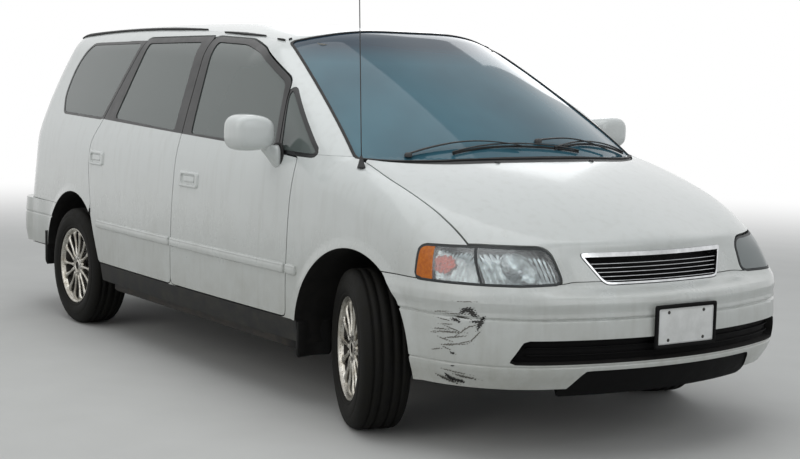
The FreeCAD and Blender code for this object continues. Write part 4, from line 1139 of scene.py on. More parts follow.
# Moulded amber acrylic: a strong colour over a rippled inner face.
AMBER = mottled("amber_acrylic_lens", "#B55A04", "#D67A12", 0.16, 12, 0.8, 0.8, 7, Specular_IOR_Level=0.3)
# Moulded orange-red cover: behind the flutes it glows more than it shines.
SIGNAL_RED = mottled("orange_red_signal_plastic", "#8F1D08", "#D8481C", 0.3, 8, 0.8, 0.8, 5, metallic=0.75)
# Plastic aluminised in a vacuum: a mirror broken into bright and dark patches.
REFLECTOR = mottled("vacuum_aluminised_reflector", "#D2D6D6", "#7C8284", 0.12, 26, 0.9, 1.0, 9, metallic=1.0,
                    spread=0.08)
# Moulded grey ABS: a satin edge that frames the lens.
LAMP_GREY = mottled("lamp_surround_grey_abs", "#303334", "#232627", 0.5, 30, 0.5, Specular_IOR_Level=0.3)


def divider(p):
    """Below 0 ahead of the slanted line between the corner lamp and the main lamp."""
    return 2013 + (776 - p[:, 2]) * 0.6 - p[:, 0]


def amber_line(p):
    return p[:, 0] - (1889 + (767 - p[:, 2]) * 0.22)


def glow_gap(p):
    """Below 0 in the ragged round of the signal bulb's cover."""
    ragged = 0.14 * np.sin(p[:, 0] * 0.3) * np.sin(p[:, 2] * 0.2)
    return np.hypot((p[:, 0] - 1938) / 42, (p[:, 2] - 717) / 32) - 1 + ragged


def flutes(y):
    """Upright flutes of the reflector, 9 mm apart."""
    return 3.0 * np.abs(np.sin(y * np.pi / 18))


def bowl_relief(p):
    """The main reflector: a deep round bowl inside a fluted field."""
    r = np.hypot(p[:, 1] + 612, p[:, 2] - 713) / 60
    bowl = -26 + 24 * np.clip(r, 0, 1) ** 2
    lip = 5 * np.clip(1 - np.abs(r - 1.04) / 0.07, 0, 1)
    return np.where(r < 1, bowl, -3 + flutes(p[:, 1])) + lip - 24


def corner_relief(p):
    """The corner reflector: two shallow dishes under fine flutes."""
    dish = 7 * np.cos((p[:, 0] - 1940) / 42 * np.pi / 2) ** 2
    return -26 - dish + flutes(p[:, 0] * 1.4)


u, v = np.meshgrid(np.arange(-840, -440, 2.5), np.arange(644, 790, 2.5), indexing="ij")
lamp_grid = np.array(ring_faces(*u.shape, closed=False))
lamp_mirror = Sheet(on_nose(u.ravel(), v.ravel()), np.concatenate([lamp_grid[:, [0, 2, 1]], lamp_grid[:, [0, 3, 2]]]))
lamp_mirror = lamp_mirror.keep(lamp_zone, settle=False)
lamp_area = front.near((1700, -1000, 600), (2400, -300, 850)).keep(lambda p: lamp_zone(p) + 1)


def lamp_rim(p):
    return lamp_zone(p) + 9


for hand, word in SIDES:
    ring = lamp_area.keep(outside(lamp_rim))
    panel("lamp_surround_" + word, side_of(ring, hand), LAMP_GREY, "root", 40, ["headlamp_" + word], "black_plastic",
          lift=-1)
    inside_area = lamp_area.keep(lamp_rim)
    main = inside_area.keep(lambda p: divider(p) + 4)
    corner = inside_area.keep(lambda p: 4 - divider(p))
    bar = inside_area.keep(lambda p: divider(p) - 4).keep(lambda p: -4 - divider(p))
    panel("lamp_divider_" + word, side_of(bar, hand), LAMP_GREY, "root", 26, slot="black_plastic", lift=-1)
    panel("lamp_lens_" + word, side_of(main, hand), LENS[word], "root", 5, ["headlamp_" + word], "lamp_lens", lift=-1)
    panel("corner_lens_" + word, side_of(corner.keep(outside(amber_line)), hand), LENS[word], "root", 5,
          ["headlamp_" + word], "lamp_lens", lift=-1)
    panel("corner_amber_" + word, side_of(corner.keep(amber_line), hand), AMBER, "root", 8, ["headlamp_" + word],
          "lamp_lens", lift=-1)
    panel("lamp_case_" + word, side_of(lamp_area, hand), LAMP_GREY, "root", 62, slot="black_plastic", lift=-54)
    mirror_back = lamp_mirror.keep(lamp_rim, settle=False).keep(lambda p: divider(p) + 4, settle=False)
    panel("lamp_reflector_" + word, side_of(mirror_back, hand), REFLECTOR, "root", 50, slot="lamp_lens",
          relief=bowl_relief, back=False)
    corner_back = lamp_mirror
    for cut in (lamp_rim, lambda p: 4 - divider(p), outside(amber_line)):
        corner_back = corner_back.keep(cut, settle=False)
    panel("signal_reflector_" + word, side_of(corner_back, hand), REFLECTOR, "root", 50, slot="lamp_lens",
          relief=corner_relief, back=False)
    glow = corner_back.keep(glow_gap, settle=False)
    panel("signal_glow_" + word, side_of(glow, hand), SIGNAL_RED, "root", 20, slot="lamp_lens", lift=-14, back=False)
    bulb, bulb_faces = turned([(0.3, 0), (7, 1.5), (12, 6), (14, 13), (13, 22), (9, 30)], 24)
    spot = on_nose([-612.0], [713.0])
    ahead = skin_normal(spot)[0]
    across = np.cross(ahead, (0, 0, 1))
    across /= np.linalg.norm(across)
    bulb = spot - np.outer(bulb[:, 1] + 24, ahead) + np.outer(bulb[:, 0], across) + np.outer(bulb[:, 2],
        np.cross(across, ahead))
    add_piece("lamp_bulb_shield_" + word, *on_side((bulb, bulb_faces), hand), CHROME, "root", slot="chrome")

# Scuffs at the right corner of the front bumper: the black plastic bared in patches, and scratches round them.
# The bumper's own moulded plastic, bared by a scrape: rough and black.
BARED = mottled("bared_black_polypropylene", "#191918", "#2D2B28", 0.6, 8, 0.8, 0.3, 2)
# Enamel scored down to its primer: dull grey threads.
SCRATCHED = mottled("scratched_enamel", "#77756E", "#4D4B46", 0.7, 6, 0.9, 0.3, 2)
# x, height, half length, half width, slope.
BARED_PATCHES = [
    (2060, 563, 20, 8, 0.1), (2078, 552, 17, 8, -0.5), (2049, 556, 12, 5, 0.5), (2104, 520, 24, 6, 1.25),
    (2094, 524, 18, 4, 0.0), (2022, 525, 14, 5, -0.15), (2034, 519, 8, 3, -0.6), (1996, 305, 20, 5, -0.35),
    (2020, 300, 14, 4, -0.2), (1984, 314, 12, 3, -0.6), (2014, 403, 9, 3, -0.2), (2010, 356, 8, 2, 0.1),
]
SCRATCHES = [
    (2000, 478, 46, 2.6, 0.05), (2020, 462, 38, 2.2, 0.2), (1968, 486, 30, 2.2, 0.05), (2016, 490, 26, 2.0, -0.25),
    (2048, 486, 30, 1.8, 0.7), (2026, 546, 40, 1.8, 0.05), (2044, 535, 26, 1.8, -0.15), (1985, 450, 26, 1.8, -0.2),
    (2034, 438, 34, 1.9, 0.1), (2000, 432, 24, 2.6, 0.1), (1972, 300, 28, 3.4, -0.35), (2044, 318, 30, 2.6, -0.15),
    (2010, 334, 40, 2.0, -0.12), (2055, 592, 30, 1.5, 0.05), (1960, 548, 30, 1.6, 0.1), (2090, 470, 26, 1.8, 0.9),
    (1950, 410, 20, 1.8, 0.2), (1975, 522, 26, 1.5, -0.1), (1988, 505, 24, 1.5, 0.1), (1940, 470, 18, 1.4, 0.1),
    (2075, 505, 20, 1.8, 0.4), (1993, 418, 18, 1.8, -0.3), (2060, 448, 20, 1.6, 0.3),
]


def marks(table, rough):
    """Below 0 inside ragged marks, each a slanted ellipse with a torn edge."""
    def gap(p):
        tear = np.sin(p[:, 0] * 0.61 + 2 * np.sin(p[:, 2] * 0.37)) + np.sin(p[:,
            2] * 0.83 + 1.7 * np.sin(p[:, 0] * 0.29))
        best = np.full(len(p), 1e9)
        for x, z, long_half, wide_half, slope in table:
            c, n = math.cos(slope), math.sin(slope)
            u, v = p[:, 0] - x, p[:, 2] - z
            along, across = u * c + v * n, v * c - u * n
            best = np.minimum(best, (np.hypot(along / long_half, across / wide_half) - 1) * wide_half
                              + tear * rough * wide_half)
        return best

    return gap


u, v = np.meshgrid(np.arange(1925, 2131, 2.0), np.arange(280, 605, 2.0), indexing="ij")
corner_grid = np.array(ring_faces(*u.shape, closed=False))
corner_patch = Sheet(on_flank(u.ravel(), v.ravel()),
                     np.concatenate([corner_grid[:, [0, 1, 2]], corner_grid[:, [0, 2, 3]]]))
for name, table, rough, material, slot, raised in (
    ("bumper_bared_patches", BARED_PATCHES, 0.35, BARED, "black_plastic", 1.1),
    ("bumper_scratches", SCRATCHES, 0.45, SCRATCHED, "paint", 0.9),
):
    panel(name, corner_patch.keep(marks(table, rough), settle=False), material, "root", 0.2, slot=slot,
          relief=lambda p: bumper_relief(p) + raised, back=False)

# Mud flaps: moulded rubber sheets, bent round behind each wheel.
for where, x, low, high in (("front", 1030, 222, 372), ("rear", -1812, 277, 470)):
    rows = []
    for share in np.linspace(0, 1, 13):
        z = low + (high - low) * share
        curve = x - (10 if where == "front" else 6) * (1 - share) ** 2 - 6 * share
        inner, outer = 700.0, 872.0 - 10 * max(0, (0.16 - share) / 0.16) ** 2
        y = np.linspace(inner + 12 * max(0, (0.12 - share) / 0.12) ** 2, outer, 15)
        bow = 5 * np.cos((y - inner) / (outer - inner) * np.pi * 2) * (1 - share * 0.6)
        front_face = np.stack([curve + bow, -y, np.full(15, z)], 1)
        rear_face = front_face[::-1] - np.array([6.0, 0, 0])
        rows.append(np.concatenate([front_face, rear_face]))
    flap = skinned(rows)
    for hand, word in SIDES:
        add_piece("%s_mud_flap_%s" % (where, word), *on_side(flap, hand), RUBBER, "root", ["mud_flaps"], "rubber")

# Grille: a chromed frame, five bars that follow the nose, and a back in black darkened as painted shade.
chrome_ring = front.keep(both_of(grille_gap, beyond(0, NOSE))).keep(lambda p: grille_gap(p) + 1)
inner_grille = both_of(lambda p: grille_gap(p) + 7.5, lambda p: p[:, 2] - 740)
panel("grille_frame", chrome_ring.keep(outside(inner_grille)), CHROME, "hood", 34, ["grille"], "chrome", lift=3)
panel("grille_back", chrome_ring, BLACK_DARKENED_AS_SHADE, "hood", 40, ["grille"], "black_plastic", lift=-34)
for k, z in enumerate((660, 675, 690, 705, 720)):
    half = 280 + (z - 644) * 0.69 - 9
    y = np.linspace(-half, half, 61)
    path = on_nose(y, z, -4)
    part = swept(path, [(-10, -1.0), (3, -1.5), (5, -0.9), (5.5, 0), (5, 0.9), (3, 1.5), (-10, 1.0)], up=(0, 0, 1))
    add_piece("grille_bar_%d" % (k + 1), *part, CHROME, "hood", ["grille"], "chrome")

# Bumper openings: inserts behind the painted cover, and the air dam below it, in black darkened as painted shade.
insert = front.keep(both_of(lambda p: intake_gap(p) - 12, beyond(0, NOSE)))
panel("intake_insert", insert, BLACK_DARKENED_AS_SHADE, "root", 34, slot="black_plastic", lift=-46)
for z in (405, 434):
    y = np.linspace(-640, 640, 90)
    add_piece("intake_bar_%d" % z, *swept(on_nose(y, z, -30), bar_section(16, 5, 1.5)), BLACK_DARKENED_AS_SHADE, "root",
              slot="black_plastic")
dam = front.keep(both_of(lambda p: lower_intake_gap(p) - 14, beyond(2, 232), beyond(2, 362, -1), beyond(0, NOSE)))
panel("air_dam", dam, BLACK_DARKENED_AS_SHADE, "root", 10, slot="black_plastic", lift=-44)

# Number plate, left blank, in a black frame.
PLATE_X, PLATE_LOW = 2378.7, 417


def on_plate(u, v, height):
    return np.stack([PLATE_X + height + 0 * v, u, v], 1)


outer = rectangle(-156, 156, PLATE_LOW, PLATE_LOW + 160, 10)
inner = rectangle(-141, 141, PLATE_LOW + 14, PLATE_LOW + 146, 7)
rows = [on_plate(*outer.T, 0.5), on_plate(*outer.T, 6.5),
        on_plate(outer[:, 0] * 0.985, (outer[:, 1] - PLATE_LOW - 80) * 0.975 + PLATE_LOW + 80, 8),
        on_plate(*inner.T, 8), on_plate(*inner.T, 3)]
# The frame takes the same black, darkened below the plastic's own colour.
add_piece("number_plate_frame", *skinned(rows, caps=(False, False)), BLACK_DARKENED_AS_SHADE, "root", ["front_plate"],
          "black_plastic")
blank = slab(rectangle(-150, 150, PLATE_LOW + 6, PLATE_LOW + 154, 8), on_plate, 4.5, 1.2)
edge_out, edge_in = rectangle(-137, 137, PLATE_LOW + 18, PLATE_LOW + 142, 8), rectangle(-134, 134, PLATE_LOW + 21,
    PLATE_LOW + 139, 6)
rows = [on_plate(*edge_out.T, 4.4), on_plate(edge_out[:, 0] * 0.995, edge_out[:, 1], 5.6), on_plate(*edge_in.T, 5.6),
        on_plate(*edge_in.T, 4.4)]
add_piece("number_plate_blank", *gather([blank, skinned(rows, caps=(False, False))]), PLATE, "root", ["front_plate"],
          "plate_white")
points, faces = turned([(6.5, 4), (6.2, 6.2), (4, 7.2), (0.2, 7.4)], 20)
screws = [(on_plate(points[:, 0] + u, points[:, 2] + PLATE_LOW + v, points[:, 1]), faces) for u in (-89, 89)
          for v in (131, 29)]
add_piece("number_plate_screws", *gather(screws), LUG_BLACK, "root", slot="steel")

# Rub strips on the doors and fenders.
for name, body, x0, x1 in (("front_door", "front_door_", -122, 942), ("rear_door", "rear_door_", -1040, -134),
                           ("fender", "", 954, 1034)):
    def ends(p, x0=x0, x1=x1):
        return box_gap(p[:, 0] - (x0 + x1) / 2, p[:, 2] - 584.5, (x1 - x0) / 2, 21.5, 8)

    strip = RIGHT_SKIN.near((x0 - 30, -1000, 520), (x1 + 30, -700, 650)).keep(ends)
    for inset in (2.0, 5.0, 9.0):
        strip = strip.keep(lambda p: ends(p) + inset, both=True)
    for level in (590, 594, 598):
        strip = strip.keep(beyond(2, level), both=True)

    def bulge(p, ends=ends):
        d = -ends(p)
        return 1 + 12.5 * rounding(d, 9) - 1.6 * groove(p[:, 2], 594, 4) * (d > 8)

    for hand, word in SIDES:
        target = body + word if body else "root"
        panel("%s_rub_strip_%s" % (name, word), side_of(strip, hand), ENAMEL, target, 1, relief=bulge, back=False)

# Door handles: a bezel let into the door with a flap over its finger recess.
for name, hx, hz in (("front", 35, 889), ("rear", -1095, 925)):
    def pressed(u, v, hx=hx, hz=hz):
        u, v = u - hx, v - hz
        height = 8.5 * rounding(-box_gap(u, v, 95, 38, 17), 7) - 20 * step(-box_gap(u, v, 74, 24, 13), 0, 4)
        flap = -box_gap(u - 8, v - 3, 54, 15, 7)
        return np.where(flap > 0, 2 + 5 * rounding(flap, 6), height)

    part = worked((hx - 95, hx + 95, hz - 38, hz + 38), on_flank, pressed, 2.2)
    for hand, word in SIDES:
        add_piece("%s_handle_%s" % (name, word), *on_side(part, hand), ENAMEL, "%s_door_%s" % (name, word),
                  slot="paint")

# Mirrors: a rounded case on an arm, with its glass facing back.
# Float glass silvered on its back: a clean, sharp mirror.
MIRROR_GLASS = finish("silvered_mirror_glass", "#DADFE0", 0.03, 1.0)[0]
turn = np.arange(56) * 2 * np.pi / 56
cos_t, sin_t = np.cos(turn), np.sin(turn)


def mirror_ring(x, scale, squeeze=0.62):
    y = np.sign(cos_t) * np.abs(cos_t) ** squeeze * 99
    z = np.sign(sin_t) * np.abs(sin_t) ** squeeze * (76 - 8 * (y > 0) * (y / 99))
    return np.stack([np.full(56, float(x)), -986 + y * scale, 1139 + z * scale + 2 * (1 - scale)], 1)


case_rows = [mirror_ring(x, k)
             for x, k in ((781, 0.86), (774, 0.93), (771, 0.965), (773, 0.99), (782, 1.0), (800, 1.0), (822, 0.99),
                                             (842, 0.965), (858, 0.92), (870, 0.84), (877, 0.72), (881, 0.52),
                                             (882, 0.2))]
case = skinned(case_rows, caps=(False, True))
glass_rows = [mirror_ring(777, 0.955), mirror_ring(779.5, 0.95), mirror_ring(780.5, 0.3)]
mirror_face = skinned(glass_rows, caps=(False, True))
arm_turn = np.arange(20) * 2 * np.pi / 20


def arm_ring(x, y, z, rx, rz):
    c, n = np.cos(arm_turn), np.sin(arm_turn)
    return np.stack([x + rx * np.sign(c) * np.abs(c) ** 0.75, np.full(20, float(y)),
                     z + rz * np.sign(n) * np.abs(n) ** 0.75], 1)


arm = skinned([arm_ring(*row) for row in (
    (812, -852, 1038, 36, 52), (812, -868, 1042, 31, 44), (814, -885, 1052, 27, 36), (818, -902, 1066, 25, 30),
    (822, -925, 1084, 25, 26))])
base = skinned([arm_ring(812, y, 1038, 36 + grow, 52 + grow)
                for y, grow in ((-846, 9), (-853, 9), (-856, 5), (-857, 1))])
for hand, word in SIDES:
    body = "front_door_" + word
    add_piece("mirror_case_" + word, *on_side(gather([case, arm]), hand), ENAMEL, body, slot="paint")
    add_piece("mirror_glass_" + word, *on_side(mirror_face, hand), MIRROR_GLASS, body, slot="chrome")
    add_piece("mirror_gasket_" + word, *on_side(base, hand), RUBBER, body, slot="rubber")

# Windscreen border, seals and roof mouldings.
frit = screen.keep(outside(screen_gap, -26))
panel("windscreen_border", frit, FRAME_BLACK, "root", 12, slot="black_plastic", lift=-10)
seal_area = SKIN.near((300, -1000, 950), (1700, 1000,
                                          1700)).keep(lambda p: screen_gap(p) - 5).keep(outside(screen_gap, -7))
panel("windscreen_seal", seal_area, RUBBER, "root", 10, slot="rubber", lift=2)
moulding = top.keep(lambda p: np.abs(roof_gap(p) + 2) - 8).keep(lambda p: np.maximum(p[:, 0] - 395,
    500 - np.abs(p[:, 1])))
panel("roof_mouldings", moulding.keep(lambda p: -2046 - p[:, 0]), RUBBER, "root", 10, slot="rubber", lift=8)

# Wipers, washer jets and the antenna.
def upright(profile, count, foot, stretch=1.0):
    """A turned part that stands on a foot."""
    points, faces = turned(profile, count)
    return np.stack([points[:, 0] * stretch, points[:, 2], points[:, 1]], 1) + foot, backward(faces)


def facing_back(profile, count, x, y, z):
    """A turned part that faces the tail."""
    points, faces = turned(profile, count)
    return np.stack([x - points[:, 1], points[:, 0] + y, points[:, 2] + z], 1), backward(faces)


def wiper(name, pivot, joint, start, end):
    """An arm from its pivot to the joint on its blade, all held just over the glass."""
    def over(points, lift):
        points = np.array(points, float)
        return on_top(points[:, 0], points[:, 1], lift)

    share = np.linspace(0, 1, 24)[:, None]
    arm_line = over(np.array([pivot]) * (1 - share) + np.array([joint]) * share, 0)
    arm_line[:, 2] += (12 + 16 * np.sin(share[:, 0] * np.pi) * 0.6 + 6 * share[:, 0])
    blade_line = over(np.array([start]) * (1 - share) + np.array([end]) * share, 0)
    high = blade_line.copy()
    high[:, 2] += 12 + 5 * np.sin(share[:, 0] * np.pi)
    low = blade_line.copy()
    low[:, 2] += 4.5
    knob = upright([(16, 0), (16, 10), (12, 16), (5, 18), (0.2, 18.2)], 24, over([pivot], 0)[0])
    parts = [swept(arm_line, bar_section(13, 6, 1.5), scale=np.linspace(1.2, 0.7, 24)),
             swept(high, bar_section(8, 6, 1.5)), knob]
    add_piece(name, *gather(parts), TRIM_BLACK, "root", slot="black_plastic")
    add_piece(name + "_rubber", *swept(low, bar_section(3, 9, 0.8)), RUBBER, "root", slot="rubber")


wiper("wiper_right", (1352, -560), (1452, -60), (1420, -390), (1455, 250))
wiper("wiper_left", (1412, 60), (1392, 470), (1452, 120), (1290, 660))
jets = [upright([(9, -1), (8.5, 3), (6, 6.5), (0.2, 7.5)], 20, on_top([1535], [y])[0], 1.5) for y in (-251, 251)]
add_piece("washer_jets", *gather(jets), TRIM_BLACK, "hood", slot="black_plastic")
foot = on_top([1337.0], [-772.0])[0]
rows = []
for height, rx, ry in ((-2, 21, 15), (4, 20, 14), (14, 15, 11), (28, 9, 8), (40, 6, 6), (46, 4.5, 4.5)):
    rows.append(np.stack([foot[0] - height * 0.06 + rx * cos_t, foot[1] + ry * sin_t, np.full(56, foot[2] + height)],
                         1))
mast = np.linspace((foot[0] - 2, foot[1], foot[2] + 40), (foot[0] - 45, foot[1], foot[2] + 778), 12)
parts = [skinned(rows), swept(mast, round_section(2.1), up=(0, 1, 0))]
tip = np.linspace((foot[0] - 44.6, foot[1], foot[2] + 772), (foot[0] - 45.2, foot[1], foot[2] + 782), 4)
parts.append(swept(tip, round_section(3.2), up=(0, 1, 0)))
add_piece("antenna_mast", *gather(parts), TRIM_BLACK, "root", ["antenna"], "black_plastic")

# Cabin: pads blown up as their filling would, on moulded bases.
FLOOR_TOP = 258.3


def blown(points, faces, voxel, pressure, limit):
    """Points and faces of a closed cover after its filling has pushed it out, by up to limit millimetres."""
    mesh = bpy.data.meshes.new("cover")
    mesh.from_pydata([tuple(p) for p in np.asarray(points) * MM], [], faces)
    cover = bpy.data.objects.new("cover", mesh)
    bpy.context.collection.objects.link(cover)
    remesh = cover.modifiers.new("weave", "REMESH")
    remesh.mode = "VOXEL"
    remesh.voxel_size = voxel * MM
    fine = bpy.data.meshes.new_from_object(cover.evaluated_get(bpy.context.evaluated_depsgraph_get()))
    cover.modifiers.clear()
    cover.data = fine
    rest = np.array([v.co for v in fine.vertices])
    push = np.array([v.normal for v in fine.vertices]) * limit * MM * 0.4
    cloth = cover.modifiers.new("filling", "CLOTH")
    cloth.settings.use_pressure = True
    cloth.settings.uniform_pressure_force = pressure
    cloth.settings.effector_weights.gravity = 0
    cloth.settings.quality = 4
    for frame_number in range(1, 21):
        bpy.context.scene.frame_set(frame_number)
    swollen = cover.evaluated_get(bpy.context.evaluated_depsgraph_get()).data
    push = np.array([v.co for v in swollen.vertices]) - rest
    far = np.linalg.norm(push, axis=1)
    push *= np.minimum(1, limit * MM / np.maximum(far, 1e-9))[:, None]
    faces = [tuple(f.vertices) for f in fine.polygons]
    bpy.data.objects.remove(cover)
    bpy.context.scene.frame_set(1)
    return (rest + push) / MM, faces


def pad_cover(length, width, thick, edge, corner):
    """A closed box of cloth with soft edges: length along u, width along v, thickness up."""
    ring = rectangle(0, length, -width / 2, width / 2, corner)
    centre = ring.mean(0)
    rows = []
    for inset, height in ((edge, 0), (edge * 0.3, edge * 0.3), (0, edge), (0, thick - edge),
                          (edge * 0.3, thick - edge * 0.3), (edge, thick)):
        shrink = (ring - centre) * (1 - inset / np.abs(ring - centre).max(0))
        rows.append(np.column_stack([centre + shrink, np.full(len(ring), float(height))]))
    return skinned(rows)


def sewn(part, width, seams):
    """A pad with its seams pulled in: across (u) and along (v), deepest on the top."""
    points, faces = part
    points = points.copy()
    top = np.clip(points[:, 2] / points[:, 2].max() * 2 - 1, 0, 1)
    for kind, where in seams:
        d = points[:, 0] - where if kind == "across" else np.abs(points[:, 1]) - where
        span = np.abs(points[:, 1]) < (width if kind == "along" else seams[0][1] + 2)
        points[:, 2] -= 9 * top * span * np.exp(-((d / 9) ** 2))
    return points, faces


def piping(part, ring):
    """A cord sewn round the top of a pad, where rays from above meet it."""
    points, faces = part
    tree = BVHTree.FromPolygons([Vector(p) for p in points], faces)
    path = []
    for u, v in list(ring) + [ring[0]]:
        hit = tree.ray_cast(Vector((u, v, 400)), Vector((0, 0, -1)))[0]
        if hit is not None:
            path.append((hit.x, hit.y, hit.z + 1.5))
    return swept(np.array(path), round_section(3.4, 8))


def set_at(part, origin, along, out, stretch=1.0):
    """A pad made flat, stood in the van: u runs along, v across the van, thickness out."""
    points, faces = part
    along, out = np.array(along, float), np.array(out, float)
    placed = np.array(origin, float) + np.outer(points[:, 0], along) + np.outer(points[:, 1] * stretch,
        (0, 1, 0)) + np.outer(points[:, 2], out)
    if np.cross(along, (0, 1, 0)) @ out < 0:
        faces = backward(faces)
    return placed, faces


squab = sewn(blown(*pad_cover(505, 500, 112, 42, 70), 13, 4.0, 22), 500,
             [("along", 158), ("across", 150), ("across", 330)])
squab_cord = piping(squab, rectangle(26, 479, -224, 224, 60))
backrest = sewn(blown(*pad_cover(585, 490, 104, 40, 84), 13, 4.0, 24), 490,
                [("along", 150), ("across", 150), ("across", 400)])
backrest_cord = piping(backrest, rectangle(26, 559, -220, 220, 74))
headrest = blown(*pad_cover(150, 250, 66, 28, 46), 9, 4.0, 14)
headrest_cord = piping(headrest, rectangle(18, 132, -108, 108, 36))
LEAN, UPRIGHT = math.radians(4.5), math.radians(16.5)
SEATS = [
    ("front_seat_right", "front_seats", 250, -370, 1.0), ("front_seat_left", "front_seats", 250, 370, 1.0),
    ("middle_seat_right", "rear_seats", -640, -340, 1.04), ("middle_seat_left", "rear_seats", -640, 340, 1.04),
    ("bench_right", "rear_seats", -1560, -275, 1.08), ("bench_left", "rear_seats", -1560, 275, 1.08),
]
for name, node, x, y, stretch in SEATS:
    flat, rise = (math.cos(LEAN), 0, math.sin(LEAN)), (-math.sin(LEAN), 0, math.cos(LEAN))
    up, forward = (-math.sin(UPRIGHT), 0, math.cos(UPRIGHT)), (math.cos(UPRIGHT), 0, math.sin(UPRIGHT))
    low = (x - 8, y, FLOOR_TOP + 132)
    back_foot = (x - 26, y, FLOOR_TOP + 188)
    head = (back_foot[0] + up[0] * 612 + 14, y, back_foot[2] + up[2] * 612)
    for label, part, cord, origin, along, out, fill in (
        ("cushion", squab, squab_cord, low, flat, rise, 0.7),
        ("backrest", backrest, backrest_cord, back_foot, up, forward, 0.7),
        ("headrest", headrest, headrest_cord, head, up, forward, 0.8),
    ):
        pad = add_piece("%s_%s" % (name, label), *set_at(part, origin, along, out, stretch), SEAT_CLOTH, "root",
                        [node], "seat_cloth")
        add_piece("%s_%s_piping" % (name, label), *set_at(cord, origin, along, out, stretch), CABIN_PLASTIC, "root",
                  slot="dash_plastic")
    ring = rectangle(30, 455, -212 * stretch, 212 * stretch, 44)
    rows = [np.column_stack([ring[:, 0] * k + (1 - k) * 240 + x, ring[:, 1] * k + y,
                             np.full(len(ring), FLOOR_TOP + z)])
            for k, z in ((1.0, 3), (0.985, 20), (0.93, 90), (0.97, 140))]
    parts = [skinned(rows)]
    for v in (-62, 62):
        post_foot = np.array([head[0] + 30, y + v, head[2] + 18])
        path = np.linspace(post_foot, post_foot - np.array([up[0], 0, up[2]]) * 96, 6)
        parts.append(swept(path, round_section(6), up=(0, 1, 0)))
    add_piece(name + "_base", *gather(parts), CABIN_PLASTIC, "root", slot="dash_plastic")

# Dashboard: a moulded shell with its instrument hood, vents and centre stack, and the steering wheel before it.
DASH_LINE = [
    (1146, 986), (1100, 1002), (1040, 1006), (985, 1000), (945, 984), (926, 962), (920, 930), (926, 890), (934, 850),
    (930, 812), (934, 760), (946, 700), (975, 648), (1060, 630), (1146, 630),
]
line = np.array(DASH_LINE, float)
arc = np.concatenate([[0], np.cumsum(np.linalg.norm(np.diff(line, axis=0), axis=1))])
along_line = np.linspace(0, arc[-1], 70)
dash_x, dash_z = np.interp(along_line, arc, line[:, 0]), np.interp(along_line, arc, line[:, 1])
across_dash = np.linspace(-735, 735, 148)
dx, dy = np.meshgrid(dash_x, across_dash, indexing="ij")
dz = np.repeat(dash_z[:, None], len(across_dash), 1)


def soft_box(u, low, high, soft):
    return step(u, low - soft, low + soft) * step(-u, -high - soft, -high + soft)


hood_hump = soft_box(dy, 195, 545, 34)
dz = dz + 46 * hood_hump * soft_box(dx, 935, 1062, 34) * (dz > 940)
dx = dx - 26 * hood_hump * soft_box(dz, 960, 1060, 12)
dx = dx + 44 * soft_box(dy, 225, 515, 14) * soft_box(dz, 858, 962, 10) * (dx < 1000)
dx = dx - 22 * soft_box(dy, -150, 150, 10) * soft_box(dz, 640, 930, 12) * (dx < 1000)
dx = dx + 12 * soft_box(dy, -118, 118, 3) * soft_box(dz, 812, 880, 3) * (dx < 1000)
dx = dx + 5 * np.maximum(1 - np.abs(dz - 842) / 5, 0) * (dy < -170) * (dx < 1000)
for vent_y, half in ((-650, 52), (650, 52), (-68, 50), (68, 50)):
    dx = dx + 16 * soft_box(dy, vent_y - half, vent_y + half, 3) * soft_box(dz, 892, 934, 3) * (dx < 1000)
points, faces = draped(dx, dy, dz)
add_piece("dashboard_shell", points, backward(faces), CABIN_PLASTIC, "root", ["dashboard"], "dash_plastic")
slats = []
for vent_y in (-650, 650, -68, 68):
    for z in (900, 909, 918, 927):
        path = np.column_stack([np.full(6, 918.0 if abs(vent_y) > 100 else 902.0),
                                np.linspace(vent_y - 50, vent_y + 50, 6), np.full(6, float(z))])
        slats.append(swept(path, bar_section(14, 2, 0.6)))
knobs = [facing_back([(24, 0), (23, 10), (20, 14), (17, 22), (14, 24), (0.3, 24.5)], 32, 906, y, 738)
         for y in (-80, 0, 80)]
add_piece("dashboard_vents_and_knobs", *gather(slats + knobs), TRIM_BLACK, "root", slot="black_plastic")
dials = [facing_back([(r, 0), (r, 6), (r - 3, 7), (r - 4, 3), (0.3, 2.5)], 40, 972, y, 910)
         for y, r in ((318, 30), (388, 44), (462, 30))]
add_piece("instrument_dials", *gather(dials), TRIM_BLACK, "root", slot="black_plastic")
RAKE = math.radians(-66)


def at_column(part):
    """A part made flat about the steering wheel's centre, set on its column."""
    points, faces = part
    c, n = math.cos(RAKE), math.sin(RAKE)
    return np.stack([points[:, 0] * c + points[:, 2] * n + 800, points[:, 1] + 370,
                     points[:, 2] * c - points[:, 0] * n + 930], 1), faces


round_turn = np.arange(72) * 2 * np.pi / 72
rim_rows = []
for k in range(14):
    small = k * 2 * np.pi / 14
    r = 176 + 13.5 * np.cos(small)
    rim_rows.append(np.stack([r * np.sin(round_turn), r * np.cos(round_turn), np.full(72, 14.5 * np.sin(small))], 1))
rim_rows.append(rim_rows[0])
hoop = (np.concatenate(rim_rows), ring_faces(15, 72))
wheel_parts = [hoop]
for angle in (-75, 75, -135, 135):
    a = math.radians(angle)
    share = np.linspace(0, 1, 8)[:, None]
    path = np.array([[40 * math.cos(a), 40 * math.sin(a), -8.0]]) * (1 - share) + np.array([[172 * math.cos(a),
        172 * math.sin(a), -2.0]]) * share
    wheel_parts.append(swept(path, bar_section(30, 14, 5), scale=np.linspace(1.3, 0.8, 8)))
hub_plate = slab(rectangle(-58, 62, -82, 82, 34), lambda u, v, w: np.stack([u, v, np.zeros_like(u) + w - 14], 1), 34,
                 10)
add_piece("steering_wheel", *at_column(gather(wheel_parts + [hub_plate])), TRIM_BLACK, "root", slot="black_plastic")
column = [at_column(swept(np.linspace((0, 0, -14), (0, 0, -190), 6), round_section(30, 20), up=(1, 0, 0)))]
